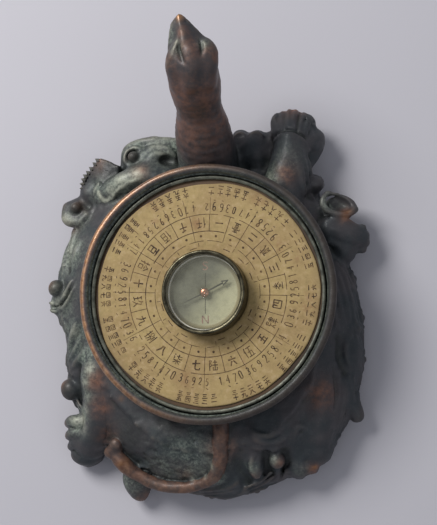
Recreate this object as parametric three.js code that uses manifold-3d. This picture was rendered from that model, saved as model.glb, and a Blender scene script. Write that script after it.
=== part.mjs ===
// Feng shui compass: a cast bronze tortoise on a skirt of waves carries a dish with a paper dial,
// and a small glass-topped compass stands in the middle of the dial.
// Millimetres, +Z up, +Y towards the head. The origin lies on the table, under the needle's pivot.

import * as THREE from 'three';
import { ConvexGeometry } from 'three/addons/geometries/ConvexGeometry.js';
import { mergeVertices } from 'three/addons/utils/BufferGeometryUtils.js';
import Module from 'manifold-3d';

const wasm = await Module();
wasm.setup();

// Clearances
const castGap = 0.3; // between the brazed castings, and round a limb's peg
const slipGap = 0.15; // round a piece that drops into another
const threadGap = 0.1; // round a thread's crests
const facetTolerance = 0.06; // facets of the castings that lie nearer than this are made one

// Underside
const padThickness = 0.8;
const plateThickness = 1.6;
const padInset = 5.6; // from the skirt's outline
const plateInset = 5.0;
const screwHeadRadius = 2.6;
const screwHeadHeight = 1.2;
const screwRadius = 1.4;
const screwLength = 8;
const screwSlot = 0.6; // width and depth of the driver slot
const padHoleRadius = 3.2;
const bossRadius = 3;
const boltSides = 12;
const bossPlaces = [[-1.5, 24.5], [-23.5, -26.5], [20.5, -26.5]];

// Shell of the body
const hollowCeiling = 13;
const deckThickness = 4;
const skirtOutline = [
  [-2, 37], [-19, 36.5], [-31.5, 30.5], [-40, 20.5], [-44.3, 8], [-44.6, -5], [-43, -18], [-38.5, -30.5],
  [-29, -41.5], [-14, -50], [2, -52.5], [16, -48.5], [28, -41], [35.5, -30], [38.4, -16], [37.4, -1],
  [33, 14], [27, 27], [15, 35],
];
const shellCentre = [-1.5, -7];
const shellSlope = [ // drop below the deck, and inset from the skirt's outline
  [0, 14.5], [0.8, 11.5], [2.5, 7.5], [5, 4], [8, 1.2], [11, 0], [14, 0.4],
];
const undersideInset = 2;
const hollowFootInset = 7.6; // where the hollow's wall meets the base plate
const hollowRoofInset = 12;
const shellSides = 38;

// Dish that holds the dial
const dishRadius = 34.05;
const beadRadius = 1.15;
const rimWidth = 2.55; // rolled rim, with the lip that stands in from it
const dishInnerRadius = dishRadius - rimWidth;
const dishWall = 0.8;
const dishFloor = 1.6;
const dishFootRadius = 24;
const dishHeight = 8.4; // from the deck to the top of the rolled rim
const studRadius = 2.4;
const studLength = 8;
const nutFlats = 8;
const nutHeight = 2.4;
const washerRadius = 5.5;
const washerThickness = 1;
const roundSides = 40;

// Dial
const discGap = 0.4; // inside the dish's wall
const discRadius = dishInnerRadius - discGap;
const discThickness = 3.8;
const discFootInset = 3.9; // where the disc's edge meets the dish's floor
const keeperWidth = 1.05;
const paperMargin = 0.35; // bare disc between the paper and its ring
const paperRadius = discRadius - keeperWidth - paperMargin;
const paperThickness = 0.3;
const keeperHeight = 1.1;

// Compass capsule
const caseRadius = 10.35;
const caseWall = 0.4;
const caseFloor = 0.8;
const caseSunk = 1.2; // how far it stands below the paper's face
const pivotBaseThickness = 2.6;
const cardRingWidth = 0.35;
const cardRingInnerRadius = caseRadius - caseWall - slipGap - cardRingWidth;
const cardGap = 0.1; // inside its ring
const cardRadius = cardRingInnerRadius - cardGap;
const cardThickness = 0.3;
const cardRingHeight = 0.7;
const pinRadius = 0.5;
const pinNeckRadius = 0.28;
const pinSunk = 1.6; // length pressed into the pivot base
const pinHeight = 1.25; // point above the card
const needleMargin = 2.35; // from its tips to the card's edge
const needleReach = cardRadius - needleMargin;
const needleWidth = 0.4;
const needleThickness = 0.25;
const needleArrowLength = 1.7;
const needleArrowHalfWidth = 0.75;
const needleHeight = 0.95; // underside above the card
const needleHeading = 26.7; // degrees from +X at rest
const hubRadius = 1.2;
const hubNeckRadius = 0.8;
const hubFlangeHeight = 0.4;
const hubDomeHeight = 0.55;
const hubSocketRadius = 0.62;
const hubHeadroom = 0.35; // below the glass
const caseHeight = caseFloor + pivotBaseThickness + cardThickness + needleHeight + needleThickness
  + hubDomeHeight + hubHeadroom;
const glassThickness = 0.9;
const bezelWall = 0.45;
const bezelLip = 0.55; // over the glass, from the case's outside
const bezelLipHeight = 0.4;
const capsuleSides = 30;

// Castings: each point is x, y, z and the radius there, for a deck at this height
const drawnDeck = 17;
const drawnFoot = 6; // points above it keep their depth below the deck
const smallRadius = 2.6; // forms below it get fewer faces
const neckPath = [
  [-1.7, 31, 9.5, 7.2], [-1.6, 37.5, 14.5, 8.1], [-1.4, 43, 21.2, 7.6], [-1, 48.3, 28.5, 6.1],
  [-0.8, 53, 35, 6.8], [-0.5, 57, 39.8, 6.2],
];
const skull = [-0.2, 58.6, 41, 6, 5.2, 5];
const beak = [
  [-2.7, 68.1, 45.9], [-1.9, 68, 44.9], [-4.7, 65.9, 42], [-5.3, 66.5, 43.9], [0.9, 65.6, 43.8],
  [-2, 65, 46.4], [-1.4, 62, 46.6], [-6.3, 61, 42.7], [4.4, 62.1, 42.9], [-1.1, 61.4, 38.2],
  [-0.9, 57, 45.2], [-6.4, 56.6, 41.4], [4.4, 57.2, 42.6], [-0.4, 57.2, 37.4],
];
const brow = [4.6, 59.4, 42.6, 1.7, 2.2, 1.9];
const neckPeg = [[-1.6, 37.5, 13, 3], [-1.6, 31.5, 9.5, 3]];

const frontRightLimb = [
  [18.6, 25, 10.5, 5.6], [19.3, 31.5, 12, 5.4], [20.4, 37.5, 12.5, 4.8], [21, 42, 12.2, 4.5],
];
const frontRightFan = [ // back of the paw
  [16, 42.6, 12.8], [20, 41.4, 15], [25, 40, 13.6], [15.5, 47.6, 11.2], [17.5, 49.8, 10.8], [21.4, 50.4, 11],
  [24.8, 49.6, 10.6], [27, 47, 10], [28.6, 44.2, 9.3], [29.6, 42.7, 8.3], [29.4, 41.3, 7.4], [28.3, 39, 7.4],
  [26, 36.8, 8.2], [14.8, 44.8, 6.6], [17.2, 49.3, 6.2], [24.4, 49, 6], [27.7, 44.7, 5.8], [28.8, 41.8, 5.8],
  [25.8, 37.8, 5.8],
];
const frontRightToes = [
  [[17.8, 44.4, 11.6, 2.2], [17.5, 47.2, 10.6, 2.4], [17.4, 48.3, 7.4, 1.9]],
  [[20.9, 44.6, 12.2, 2.4], [20.9, 47.8, 11, 2.7], [20.9, 48.5, 7.4, 2.1]],
  [[24.1, 43.6, 11.8, 2.2], [24.5, 46.6, 10.4, 2.5], [24.8, 47.3, 7.4, 1.9]],
  [[26, 41, 10.6, 2.1], [27.3, 42.7, 8.9, 2.1], [27.8, 43.3, 6.4, 1.5]],
];
const frontRightPeg = [[20.2, 33.5, 12, 2], [17.8, 28, 8.8, 2]];

const frontLeftLimb = [
  [-13.5, 31.5, 12, 4], [-19, 33.2, 13.7, 3.2], [-24.5, 31.8, 13.7, 2.9], [-29, 29.4, 12.4, 2.6],
  [-31.4, 28, 10.7, 2.2],
];
const frontLeftToes = [
  [[-31.4, 27.6, 10.4, 1.7], [-34.2, 27.4, 8.4, 1.5]],
  [[-31.4, 26.4, 10, 1.7], [-33.8, 24.8, 7.8, 1.5]],
  [[-30.4, 26, 9.8, 1.7], [-31.5, 23.4, 7.6, 1.5]],
];
const crest = [
  [-32.7, 39.3, 11.5], [-26.5, 37, 13.2], [-26.8, 33.4, 12.8], [-33.2, 29.4, 10.7], [-38, 30.9, 9],
  [-37.5, 33.9, 9.9], [-35.7, 36.1, 10.5], [-28, 33.5, 8], [-36, 31.5, 5.4], [-32, 37.2, 6.4],
];
const crestEdge = [[-32.8, 38.9, 11], [-35.8, 35.5, 10.4], [-37.9, 32.3, 9.4], [-38.1, 30.7, 8.9]];
const crestTeeth = 8;
const crestToothRadius = 0.8;
const frontLeftPeg = [[-19.5, 33, 14, 1.6], [-17, 29, 10, 1.6]];

const rearLeftLimb = [
  [-30.6, -16.6, 12.4, 4.3], [-32.4, -21.5, 13, 4], [-31.9, -27, 12.6, 3.9], [-31.9, -32, 11.2, 4],
  [-33.6, -36.4, 8.8, 4],
];
const rearLeftPalm = [-35.5, -38, 6.5, 5.1, 5.5, 4.3];
const rearLeftToes = [
  [[-36.2, -33.6, 8.8, 2], [-40, -32.9, 7.8, 2], [-42.1, -33.8, 4.4, 1.6]],
  [[-36.6, -36.2, 8.8, 2], [-40.4, -36.4, 7.2, 1.9], [-42.2, -37.1, 4, 1.5]],
  [[-36.4, -38.8, 8.2, 2], [-40, -39.2, 6.6, 1.8], [-41.7, -39.9, 3.8, 1.4]],
];
const rearLeftHeel = [-37.1, -42.2, 4.4, 4.8, 3.4, 3.3];
const rearLeftPeg = [[-31.8, -27.5, 13, 1.6], [-29.2, -25.5, 9.6, 1.6]];

const rearRightLimb = [
  [26, -18.6, 11.8, 4.3], [28, -24.5, 12.6, 3.5], [27.8, -30, 11.6, 3.5], [26.6, -36.5, 9.2, 4.1],
];
const rearRightHeel = [26, -40, 6.8, 4.9, 4.9, 4.7];
const rearRightToes = [
  [[28, -38.8, 7.6, 2.3], [28.5, -42.1, 5, 1.8]],
  [[24.6, -41, 8.2, 2.3], [25.2, -45, 5.8, 1.9]],
  [[21.8, -41, 8.4, 2.5], [21.5, -46, 6, 2.1]],
];
const rearRightPeg = [[28.2, -29, 12.6, 1.6], [26, -26.8, 9.4, 1.6]];

const tailPath = [
  [2.8, -33, 17.6, 2.1], [2.6, -37.5, 17.4, 2], [2.2, -42.5, 15.9, 1.8], [0.4, -46.8, 13.6, 1.75],
  [-3.8, -49.4, 11.6, 1.7], [-9.5, -50.5, 10.8, 1.7], [-16, -49.8, 10.3, 1.75], [-21.6, -46.9, 10.5, 1.9],
  [-25.3, -44.1, 11, 2.2], [-27.6, -41.2, 11.4, 1.9],
];
const tailKnuckles = [ // x, y, z, radius
  [-28.5, -39.3, 12.2, 1.5], [-25.6, -39.8, 12.4, 1.4], [-26.9, -37.7, 12.6, 1.2], [-29.4, -41.4, 10.9, 1.5],
];
const tailPegPlace = [2.7, -35];
const tailPegRadius = 1.3;
const tailPegDepth = 2.4;

// Waves of the skirt
const waveStrokes = [
  [[-26, 37, 10, 1.4], [-24.6, 40.6, 10.6, 1.4], [-21, 42.8, 10.8, 1.4], [-15.5, 43.4, 10.8, 1.4],
    [-10.9, 42.2, 10.4, 1.5]],
  [[31, 17.4, 9.4, 4.2], [35.2, 16.2, 8.6, 4], [38.2, 15.6, 7.4, 3]],
  [[-23.4, -47.4, 6, 3.7], [-22.9, -51.8, 5, 3.5]],
  [[-2.9, -50.4, 5, 2.6], [1.2, -51.6, 4.8, 2.6], [6, -50.4, 4.8, 2.4]],
  [[6.8, 36, 8, 3.1], [6.5, 43.5, 8.4, 2.8]],
  [[11, 36, 8, 3.3], [11, 43, 8.8, 3]],
  [[13.6, 36, 7.6, 2.7], [14, 42, 8, 2.5]],
  [[35, -28, 6, 3.3], [37, -31.5, 5.8, 2.2]],
];
const waveLips = [ // edges of the curls
  [[-42.3, 26, 8.8, 1.4], [-42.4, 23.2, 9.2, 1.5], [-40.8, 21.6, 9.6, 1.6], [-38, 21.6, 10.2, 1.5],
    [-36, 23.4, 10.6, 1.3]],
  [[-46.6, -0.2, 8.2, 1], [-44, -0.9, 10.3, 1.1], [-40.3, 1.5, 12.5, 1.05], [-38.9, 5.3, 13.3, 0.8]],
  [[-46.4, -2.6, 6.8, 1.2], [-43.1, -3, 9.9, 1.25], [-39.2, -0.8, 13, 1.15], [-37.9, 3.6, 14, 0.9]],
  [[-45, -5.4, 6.6, 1.3], [-41.5, -5.4, 10.9, 1.3], [-37.4, -2.2, 14.2, 1]],
  [[30.6, 27.2, 11.8, 0.9], [29.4, 24.4, 12.9, 1.1], [31, 22.2, 12.7, 1.1], [34.6, 21.5, 12, 1.05],
    [37.6, 22.8, 10.9, 0.9], [36.7, 24.7, 10.3, 0.8], [33.6, 26.6, 10.9, 0.8], [30.6, 27.2, 11.8, 0.9]],
];
const waveMasses = [
  [-18, 36.7, 8.3, 8.5, 6.2, 6.2],
  [-35.4, 29.5, 7, 3.7, 3.6, 4.3],
  [-31, 33.6, 8, 4.4, 3.4, 4],
  [-39.2, 24.8, 7, 4, 4.1, 4.3],
  [-43, 1.2, 6, 3.9, 5.7, 4.9],
  [33.2, 23.8, 8, 4.7, 3.3, 3.9],
  [34, 11.8, 7, 3.5, 3.3, 4.5],
  [36.1, -15.2, 7.4, 2.8, 5.5, 3.8],
  [14.9, -45.8, 5.6, 3.3, 2.9, 3.3],
];
const waveBalls = [ // x, y, z, radius
  [-21.9, 38.4, 13.6, 1.7], [-39, 25.4, 11.2, 1.9], [-44.7, 3.4, 9.9, 2.5], [-40.4, -24.2, 8.7, 3.25],
  [16.5, -43.3, 12.5, 2], [39.2, 18.2, 7.9, 1.3], [39.9, 16.3, 7.6, 1.3], [40, 14.4, 7.3, 1.3],
  [39, 12.6, 7, 1.3], [37.7, -8.9, 8.5, 1.2], [36.6, -24, 6.6, 1.3],
];
const waveCurls = [ // rings: x, y, z, radius across, tube
  [-21.9, 38.4, 12.6, 2.8, 0.8],
  [-14.4, 38, 11.8, 2.7, 1],
];
const curlBowls = [ // carved: x, y, z, three radii and turn in degrees
  [33.6, 24.5, 12.6, 3.4, 1.9, 2.6, -24],
];
const waveRidges = [ // on the shell's upper side: x, y, radius
  [[-42.2, 16.4, 1.1], [-44, 11.4, 1.2], [-43.6, 6.8, 1]],
  [[-37.6, -5.2, 1.4], [-40.6, -8.6, 1.7], [-43, -11.4, 1.4]],
  [[-36.6, -8.4, 1.5], [-39.4, -12, 1.8], [-42.2, -15.4, 1.5]],
  [[-35.4, -11.8, 1.5], [-37.8, -15.4, 1.7], [-40.8, -19, 1.4]],
  [[33.4, 7.6, 0.9], [36.2, -2.4, 1], [37.2, -8, 0.9]],
  [[31, 6.4, 0.8], [33.6, -4, 0.9], [34.7, -9, 0.8]],
  [[35.4, -10.4, 0.8], [34.7, -13.9, 0.9], [35.1, -17.2, 0.9], [36.7, -20.4, 0.8]],
  [[32.8, -24.4, 1], [32.3, -29, 1], [30.8, -32.8, 1], [28, -33.8, 0.9]],
  [[34.4, -24.6, 1], [34, -28.8, 1], [32.4, -33, 1]],
  [[9.8, -34.4, 0.9], [12.4, -36.6, 1], [16.8, -36.4, 1], [19.4, -34, 0.9]],
  [[9.8, -36.4, 0.9], [13.4, -38.5, 1], [17.4, -38.2, 1], [20.2, -35.8, 0.9]],
  [[21, -39.8, 0.8], [21.6, -36.4, 1], [23.1, -34.2, 1.1], [24.7, -35.9, 1], [25, -39.8, 0.8]],
  [[11.6, -41.2, 1.3], [11, -44, 1.8], [11.4, -47.8, 1.7]],
  [[0, -51, 0.9], [4, -50, 1], [7, -47.6, 1]],
];

// Rolling waves round the wall: curls, and a rib that sweeps up between each and the next
const wallStart = 52; // degrees about the shell's centre
const wallCurls = 23;
const wallStep = 15.5;
const wallClimb = 4.9; // of a curl's middle, up the wall from its foot
const wallCurlRadius = 2.8;
const wallCurlFoot = 1.4; // lowest climb of its tube
const wallCurlTube = 0.9;
const wallCurlTurns = [200, 275, 350, 425, 500]; // degrees
const wallCurlShrink = 0.1; // share of the radius that it loses at each
const wallRib = [[3.4, 2.2], [8, 4], [13, 8.4]]; // degrees from the curl, and climb
const wallRibRadius = 1.1;
const wallArcLength = 11; // at the wall, for the degrees below
const wallArcDegrees = 15;

// Heights that follow from the sizes above
const underside = padThickness;
const plateTop = underside + plateThickness;
const deckTop = hollowCeiling + deckThickness;
const dishFloorTop = deckTop + dishFloor;
const rimTop = deckTop + dishHeight;
const discTop = dishFloorTop + discThickness;
const paperTop = discTop + paperThickness;
const caseBottom = paperTop - caseSunk;
const caseTop = caseBottom + caseHeight;
const pivotBaseTop = caseBottom + caseFloor + pivotBaseThickness;
const cardTop = pivotBaseTop + cardThickness;
const needleBottom = cardTop + needleHeight;
const glassTop = caseTop + glassThickness;

// Height of a casting's point, which rises and sinks with the deck
const withDeck = (z) => z + (deckTop - drawnDeck) * Math.min(1, z / drawnFoot);

// Solids from three.js geometries, and back
function toSolid(geometry) {
  const bare = geometry.clone();
  for (const name of Object.keys(bare.attributes)) if (name !== 'position') bare.deleteAttribute(name);
  const merged = mergeVertices(bare, 1e-4);
  return new wasm.Manifold(new wasm.Mesh({
    numProp: 3,
    vertProperties: new Float32Array(merged.attributes.position.array),
    triVerts: new Uint32Array(merged.index.array),
  }));
}

function toGeometry(solid) {
  const mesh = solid.getMesh();
  const geometry = new THREE.BufferGeometry();
  geometry.setAttribute('position', new THREE.BufferAttribute(mesh.vertProperties, 3));
  geometry.setIndex(new THREE.BufferAttribute(mesh.triVerts, 1));
  geometry.computeVertexNormals();
  return geometry;
}

const join = (solids) => solids.reduce((sum, solid) => sum.add(solid));
const cut = (solid, tools) => tools.reduce((rest, tool) => rest.subtract(tool), solid);

function ringsToSolid(rings, startPoint, endPoint) {
  const sides = rings[0].length;
  const positions = [...rings.flat(), startPoint, endPoint].flatMap((point) => [point.x, point.y, point.z]);
  const start = rings.length * sides;
  const end = start + 1;
  const index = [];
  for (let side = 0; side < sides; side += 1) {
    const next = (side + 1) % sides;
    index.push(start, next, side);
    index.push(end, start - sides + side, start - sides + next);
    for (let ring = 0; ring < rings.length - 1; ring += 1) {
      const low = ring * sides;
      const high = low + sides;
      index.push(low + side, low + next, high + next, low + side, high + next, high + side);
    }
  }
  const geometry = new THREE.BufferGeometry();
  geometry.setAttribute('position', new THREE.Float32BufferAttribute(positions, 3));
  geometry.setIndex(index);
  return toSolid(geometry);
}

// A limb with round ends, whose radius changes along a smooth path
function limb(path, { grow = 0, sides = 10, stepsPerSpan = 3 } = {}) {
  const centres = path.map(([x, y, z]) => new THREE.Vector3(x, y, withDeck(z)));
  const curve = new THREE.CatmullRomCurve3(centres, false, 'centripetal');
  const steps = (path.length - 1) * stepsPerSpan;
  const frames = curve.computeFrenetFrames(steps, false);
  const radiusAt = (u) => {
    const place = curve.getUtoTmapping(u) * (path.length - 1);
    const span = Math.min(Math.floor(place), path.length - 2);
    return THREE.MathUtils.lerp(path[span][3], path[span + 1][3], place - span) + grow;
  };
  const ringAt = (step, lean) => {
    const u = step / steps;
    const tangent = frames.tangents[step];
    const radius = radiusAt(u) * Math.cos(lean);
    const centre = curve.getPointAt(u).addScaledVector(tangent, radiusAt(u) * Math.sin(lean));
    return Array.from({ length: sides }, (_, side) => {
      const angle = (2 * Math.PI * side) / sides;
      return centre.clone()
        .addScaledVector(frames.normals[step], radius * Math.cos(angle))
        .addScaledVector(frames.binormals[step], radius * Math.sin(angle));
    });
  };
  const roundOff = Math.PI / 4;
  const rings = [ringAt(0, -roundOff)];
  for (let step = 0; step <= steps; step += 1) rings.push(ringAt(step, 0));
  rings.push(ringAt(steps, roundOff));
  const startPoint = centres[0].clone().addScaledVector(frames.tangents[0], -radiusAt(0));
  const endPoint = centres[path.length - 1].clone().addScaledVector(frames.tangents[steps], radiusAt(1));
  return ringsToSolid(rings, startPoint, endPoint);
}

function mass([x, y, z, radiusX, radiusY, radiusZ], grow = 0) {
  const small = Math.max(radiusX, radiusY, radiusZ) < smallRadius;
  const sphere = small ? new THREE.SphereGeometry(1, 8, 5) : new THREE.SphereGeometry(1, 10, 7);
  sphere.scale(radiusX + grow, radiusY + grow, radiusZ + grow);
  sphere.translate(x, y, withDeck(z));
  return toSolid(sphere);
}

function curl([x, y, z, radius, tube], grow = 0) {
  const ring = new THREE.TorusGeometry(radius, tube + grow, 5, 12);
  ring.translate(x, y, withDeck(z));
  return toSolid(ring);
}

const hull = (points) => toSolid(new ConvexGeometry(
  points.map(([x, y, z]) => new THREE.Vector3(x, y, withDeck(z))),
));

function lathe(profile, sides) {
  const points = profile.map(([radius, height]) => new THREE.Vector2(radius, height));
  const geometry = new THREE.LatheGeometry(points, sides);
  geometry.rotateX(Math.PI / 2);
  return toSolid(geometry);
}

function at(solidOrGeometry, x, y, z = 0) {
  return solidOrGeometry.translate([x, y, z]);
}

// A round bar or disc whose bottom lies at one height and its top at another
const disc = (radius, bottom, top, sides) => lathe(
  [[0, bottom], [radius, bottom], [radius, top], [0, top]],
  sides,
);

const washer = (inner, outer, bottom, top, sides) => lathe(
  [[inner, bottom], [outer, bottom], [outer, top], [inner, top], [inner, bottom]],
  sides,
);

// Skirt's outline, drawn in towards the shell's centre
const outlineCurve = new THREE.CatmullRomCurve3(
  skirtOutline.map(([x, y]) => new THREE.Vector3(x, y, 0)),
  true,
  'centripetal',
);
const outlinePoints = outlineCurve.getSpacedPoints(shellSides).slice(0, shellSides);

function outlineAt(inset, height) {
  return outlinePoints.map((point) => {
    const out = new THREE.Vector3(point.x - shellCentre[0], point.y - shellCentre[1], 0);
    out.setLength(out.length() - inset);
    return new THREE.Vector3(shellCentre[0] + out.x, shellCentre[1] + out.y, height);
  });
}

function outlineSolid(sections) {
  const rings = sections.map(([height, inset]) => outlineAt(inset, height));
  const bottom = new THREE.Vector3(...shellCentre, sections[0][0]);
  const top = new THREE.Vector3(...shellCentre, sections[sections.length - 1][0]);
  return ringsToSolid(rings, bottom, top);
}

// Places on the wall, which is drawn for the deck that limbs are drawn for
const wallSection = [
  [undersideInset, underside],
  ...shellSlope.map(([drop, inset]) => [inset, drawnDeck - drop]).reverse(),
];

function outlineReach(turn) {
  const ray = [Math.cos(turn), Math.sin(turn)];
  let reach = 0;
  outlinePoints.forEach((start, index) => {
    const end = outlinePoints[(index + 1) % shellSides];
    const from = [start.x - shellCentre[0], start.y - shellCentre[1]];
    const along = [end.x - start.x, end.y - start.y];
    const cross = ray[0] * along[1] - ray[1] * along[0];
    const distance = (from[0] * along[1] - from[1] * along[0]) / cross;
    const share = (from[0] * ray[1] - from[1] * ray[0]) / cross;
    if (distance > 0 && share >= 0 && share <= 1) reach = distance;
  });
  return reach;
}

function onWall(angle, climb) {
  let left = climb;
  let [inset, height] = wallSection[0];
  for (const [nextInset, nextHeight] of wallSection.slice(1)) {
    const length = Math.hypot(nextInset - inset, nextHeight - height);
    const share = Math.min(1, left / length);
    inset = THREE.MathUtils.lerp(inset, nextInset, share);
    height = THREE.MathUtils.lerp(height, nextHeight, share);
    left -= length;
    if (left <= 0) break;
  }
  const turn = THREE.MathUtils.degToRad(angle);
  const reach = outlineReach(turn) - inset;
  return [shellCentre[0] + reach * Math.cos(turn), shellCentre[1] + reach * Math.sin(turn), height];
}

function onShell(x, y) {
  const [dx, dy] = [x - shellCentre[0], y - shellCentre[1]];
  const inset = outlineReach(Math.atan2(dy, dx)) - Math.hypot(dx, dy);
  for (let index = 1; index < shellSlope.length; index += 1) {
    const [upperDrop, upperInset] = shellSlope[index - 1];
    const [lowerDrop, lowerInset] = shellSlope[index];
    if (inset >= lowerInset) {
      const share = Math.min(1, (inset - lowerInset) / (upperInset - lowerInset));
      return drawnDeck - THREE.MathUtils.lerp(lowerDrop, upperDrop, share);
    }
  }
  return drawnFoot;
}

const wallScroll = (angle) => wallCurlTurns.map((degrees, index) => {
  const turn = THREE.MathUtils.degToRad(degrees);
  const radius = wallCurlRadius * (1 - wallCurlShrink * index);
  const along = (radius * Math.cos(turn) * wallArcDegrees) / wallArcLength;
  const climb = Math.max(wallClimb + radius * Math.sin(turn), wallCurlFoot);
  return [...onWall(angle + along, climb), wallCurlTube];
});

const wallSweep = (angle) => wallRib.map(
  ([degrees, climb]) => [...onWall(angle + degrees, climb), wallRibRadius],
);

const wallAngles = Array.from({ length: wallCurls }, (_, index) => wallStart + wallStep * index);

// Outer form of the body, which the limbs are cut to
function bodyForm(grow) {
  const slope = shellSlope.map(([drop, inset]) => [deckTop - drop + (drop === 0 ? grow : 0), inset - grow]);
  const shell = outlineSolid([[underside - grow, undersideInset - grow], ...slope.reverse()]);
  const ridges = waveRidges.map((path) => path.map(([x, y, radius]) => [x, y, onShell(x, y), radius]));
  return join([
    shell,
    ...waveStrokes.map((path) => limb(path, { grow, sides: 7, stepsPerSpan: 1 })),
    ...waveLips.map((path) => limb(path, { grow, sides: 6, stepsPerSpan: 1 })),
    ...ridges.map((path) => limb(path, { grow, sides: 5, stepsPerSpan: 1 })),
    ...[...wallAngles.map(wallScroll), ...wallAngles.map(wallSweep)]
      .map((path) => limb(path, { grow, sides: 4, stepsPerSpan: 1 })),
    ...waveMasses.map((place) => mass(place, grow)),
    ...waveBalls.map(([x, y, z, radius]) => mass([x, y, z, radius, radius, radius], grow)),
    ...waveCurls.map((place) => curl(place, grow)),
  ]);
}

const belowTable = toSolid(new THREE.BoxGeometry(200, 200, 20).translate(0, 0, underside - 10));

// Limb pegs, and the sockets that take them
const peg = (path, grow = 0) => limb(path, { grow, sides: 8, stepsPerSpan: 1 });
const tailPeg = (gap) => at(
  disc(tailPegRadius + gap, deckTop - tailPegDepth - gap, deckTop + 1, 8),
  ...tailPegPlace,
);

function bodyCasting() {
  const posts = bossPlaces.map(([x, y]) => at(
    disc(bossRadius, plateTop - 1, hollowCeiling + 1, boltSides), x, y,
  ));
  const hollow = cut(outlineSolid([
    [underside - 1, hollowFootInset],
    [plateTop, hollowFootInset],
    [hollowCeiling, hollowRoofInset],
  ]), posts);
  const rebate = outlineSolid([[underside - 1, plateInset - slipGap], [plateTop, plateInset - slipGap]]);
  const bores = bossPlaces.map(([x, y]) => at(
    disc(screwRadius + threadGap, underside - 1, underside + screwLength + castGap, boltSides), x, y,
  ));
  const studHole = disc(studRadius + castGap, hollowCeiling - 1, deckTop + 1, 24);
  const bowls = curlBowls.map(([x, y, z, radiusX, radiusY, radiusZ, turn]) => (
    mass([0, 0, 0, radiusX, radiusY, radiusZ]).rotate([0, 0, turn]).translate([x, y, withDeck(z)])
  ));
  const sockets = [neckPeg, frontRightPeg, frontLeftPeg, rearLeftPeg, rearRightPeg]
    .map((path) => peg(path, castGap));
  const tools = [belowTable, hollow, rebate, studHole, ...bores, ...bowls, ...sockets, tailPeg(castGap)];
  return cut(bodyForm(0), tools).asOriginal().simplify(facetTolerance);
}

// Outside of the dish, from the foot up to the rolled rim
function dishOutside(grow) {
  const beadCentre = [dishRadius - beadRadius, rimTop - beadRadius];
  const reach = beadRadius + grow;
  const outerWall = dishInnerRadius + dishWall + grow;
  const bead = [-50, 0, 45, 90].map((degrees) => {
    const angle = THREE.MathUtils.degToRad(degrees);
    return [beadCentre[0] + reach * Math.cos(angle), beadCentre[1] + reach * Math.sin(angle)];
  });
  return [
    [dishFootRadius, deckTop - grow], [outerWall - 4.1, deckTop + 0.4 - grow],
    [outerWall - 1.3, deckTop + 1.7 - grow], [outerWall, deckTop + 3.9 - grow],
    [outerWall, rimTop - 2 * beadRadius], ...bead,
  ];
}

const dishEnvelope = (grow) => lathe(
  [[0, deckTop - grow], ...dishOutside(grow), [0, rimTop + grow]],
  roundSides,
);

function dialDish() {
  const beadInside = [135, 180, 220].map((degrees) => {
    const angle = THREE.MathUtils.degToRad(degrees);
    return [
      dishRadius - beadRadius + beadRadius * Math.cos(angle),
      rimTop - beadRadius + beadRadius * Math.sin(angle),
    ];
  });
  return lathe([
    [0, deckTop - studLength], [studRadius, deckTop - studLength], [studRadius, deckTop],
    ...dishOutside(0), ...beadInside,
    [dishInnerRadius, rimTop - 2 * beadRadius], [dishInnerRadius, deckTop + 4.4],
    [dishInnerRadius - 1.3, deckTop + 2.6], [dishInnerRadius - 3.9, dishFloorTop], [0, dishFloorTop],
  ], roundSides);
}

function dishNut() {
  const side = nutFlats / Math.sqrt(3);
  const top = hollowCeiling - washerThickness;
  return disc(side, top - nutHeight, top, 6)
    .subtract(disc(studRadius + threadGap, top - nutHeight - 1, top + 1, 24));
}

function dishWasher() {
  return washer(studRadius + castGap, washerRadius, hollowCeiling - washerThickness, hollowCeiling, 20);
}

const recessRadius = caseRadius + slipGap;

function dialDisc() {
  return lathe([
    [0, dishFloorTop], [discRadius - discFootInset, dishFloorTop], [discRadius - 1.4, dishFloorTop + 1.15],
    [discRadius, dishFloorTop + 3.1], [discRadius, discTop], [recessRadius, discTop],
    [recessRadius, caseBottom], [0, caseBottom],
  ], roundSides);
}

const dialPaper = () => washer(recessRadius, paperRadius, discTop, paperTop, roundSides);

function retainingRing() {
  const inner = discRadius - keeperWidth;
  const height = discTop + keeperHeight;
  return lathe([
    [inner, discTop], [discRadius, discTop], [discRadius, height - 0.35], [discRadius - 0.35, height],
    [inner + 0.3, height - 0.1], [inner, height - 0.4], [inner, discTop],
  ], roundSides);
}

// Compass capsule
const caseInnerRadius = caseRadius - caseWall;

function compassCase() {
  return lathe([
    [0, caseBottom], [caseRadius, caseBottom], [caseRadius, caseTop], [caseInnerRadius, caseTop],
    [caseInnerRadius, caseBottom + caseFloor], [0, caseBottom + caseFloor],
  ], capsuleSides);
}

function pivotBase() {
  const radius = caseInnerRadius - slipGap;
  return lathe([
    [0, caseBottom + caseFloor], [radius, caseBottom + caseFloor], [radius, pivotBaseTop],
    [pinRadius + threadGap, pivotBaseTop], [pinRadius + threadGap, pivotBaseTop - pinSunk],
    [0, pivotBaseTop - pinSunk],
  ], capsuleSides);
}

const compassCard = () => washer(pinRadius + slipGap, cardRadius, pivotBaseTop, cardTop, capsuleSides);

function cardRing() {
  const outer = cardRingInnerRadius + cardRingWidth;
  return washer(cardRingInnerRadius, outer, pivotBaseTop, cardTop + cardRingHeight, capsuleSides);
}

function pivotPin() {
  const tip = cardTop + pinHeight;
  return lathe([
    [0, pivotBaseTop - pinSunk], [pinRadius, pivotBaseTop - pinSunk], [pinRadius, pivotBaseTop],
    [pinNeckRadius, cardTop], [pinNeckRadius, tip - 0.7], [0.06, tip - 0.05], [0, tip],
  ], 12);
}

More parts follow.
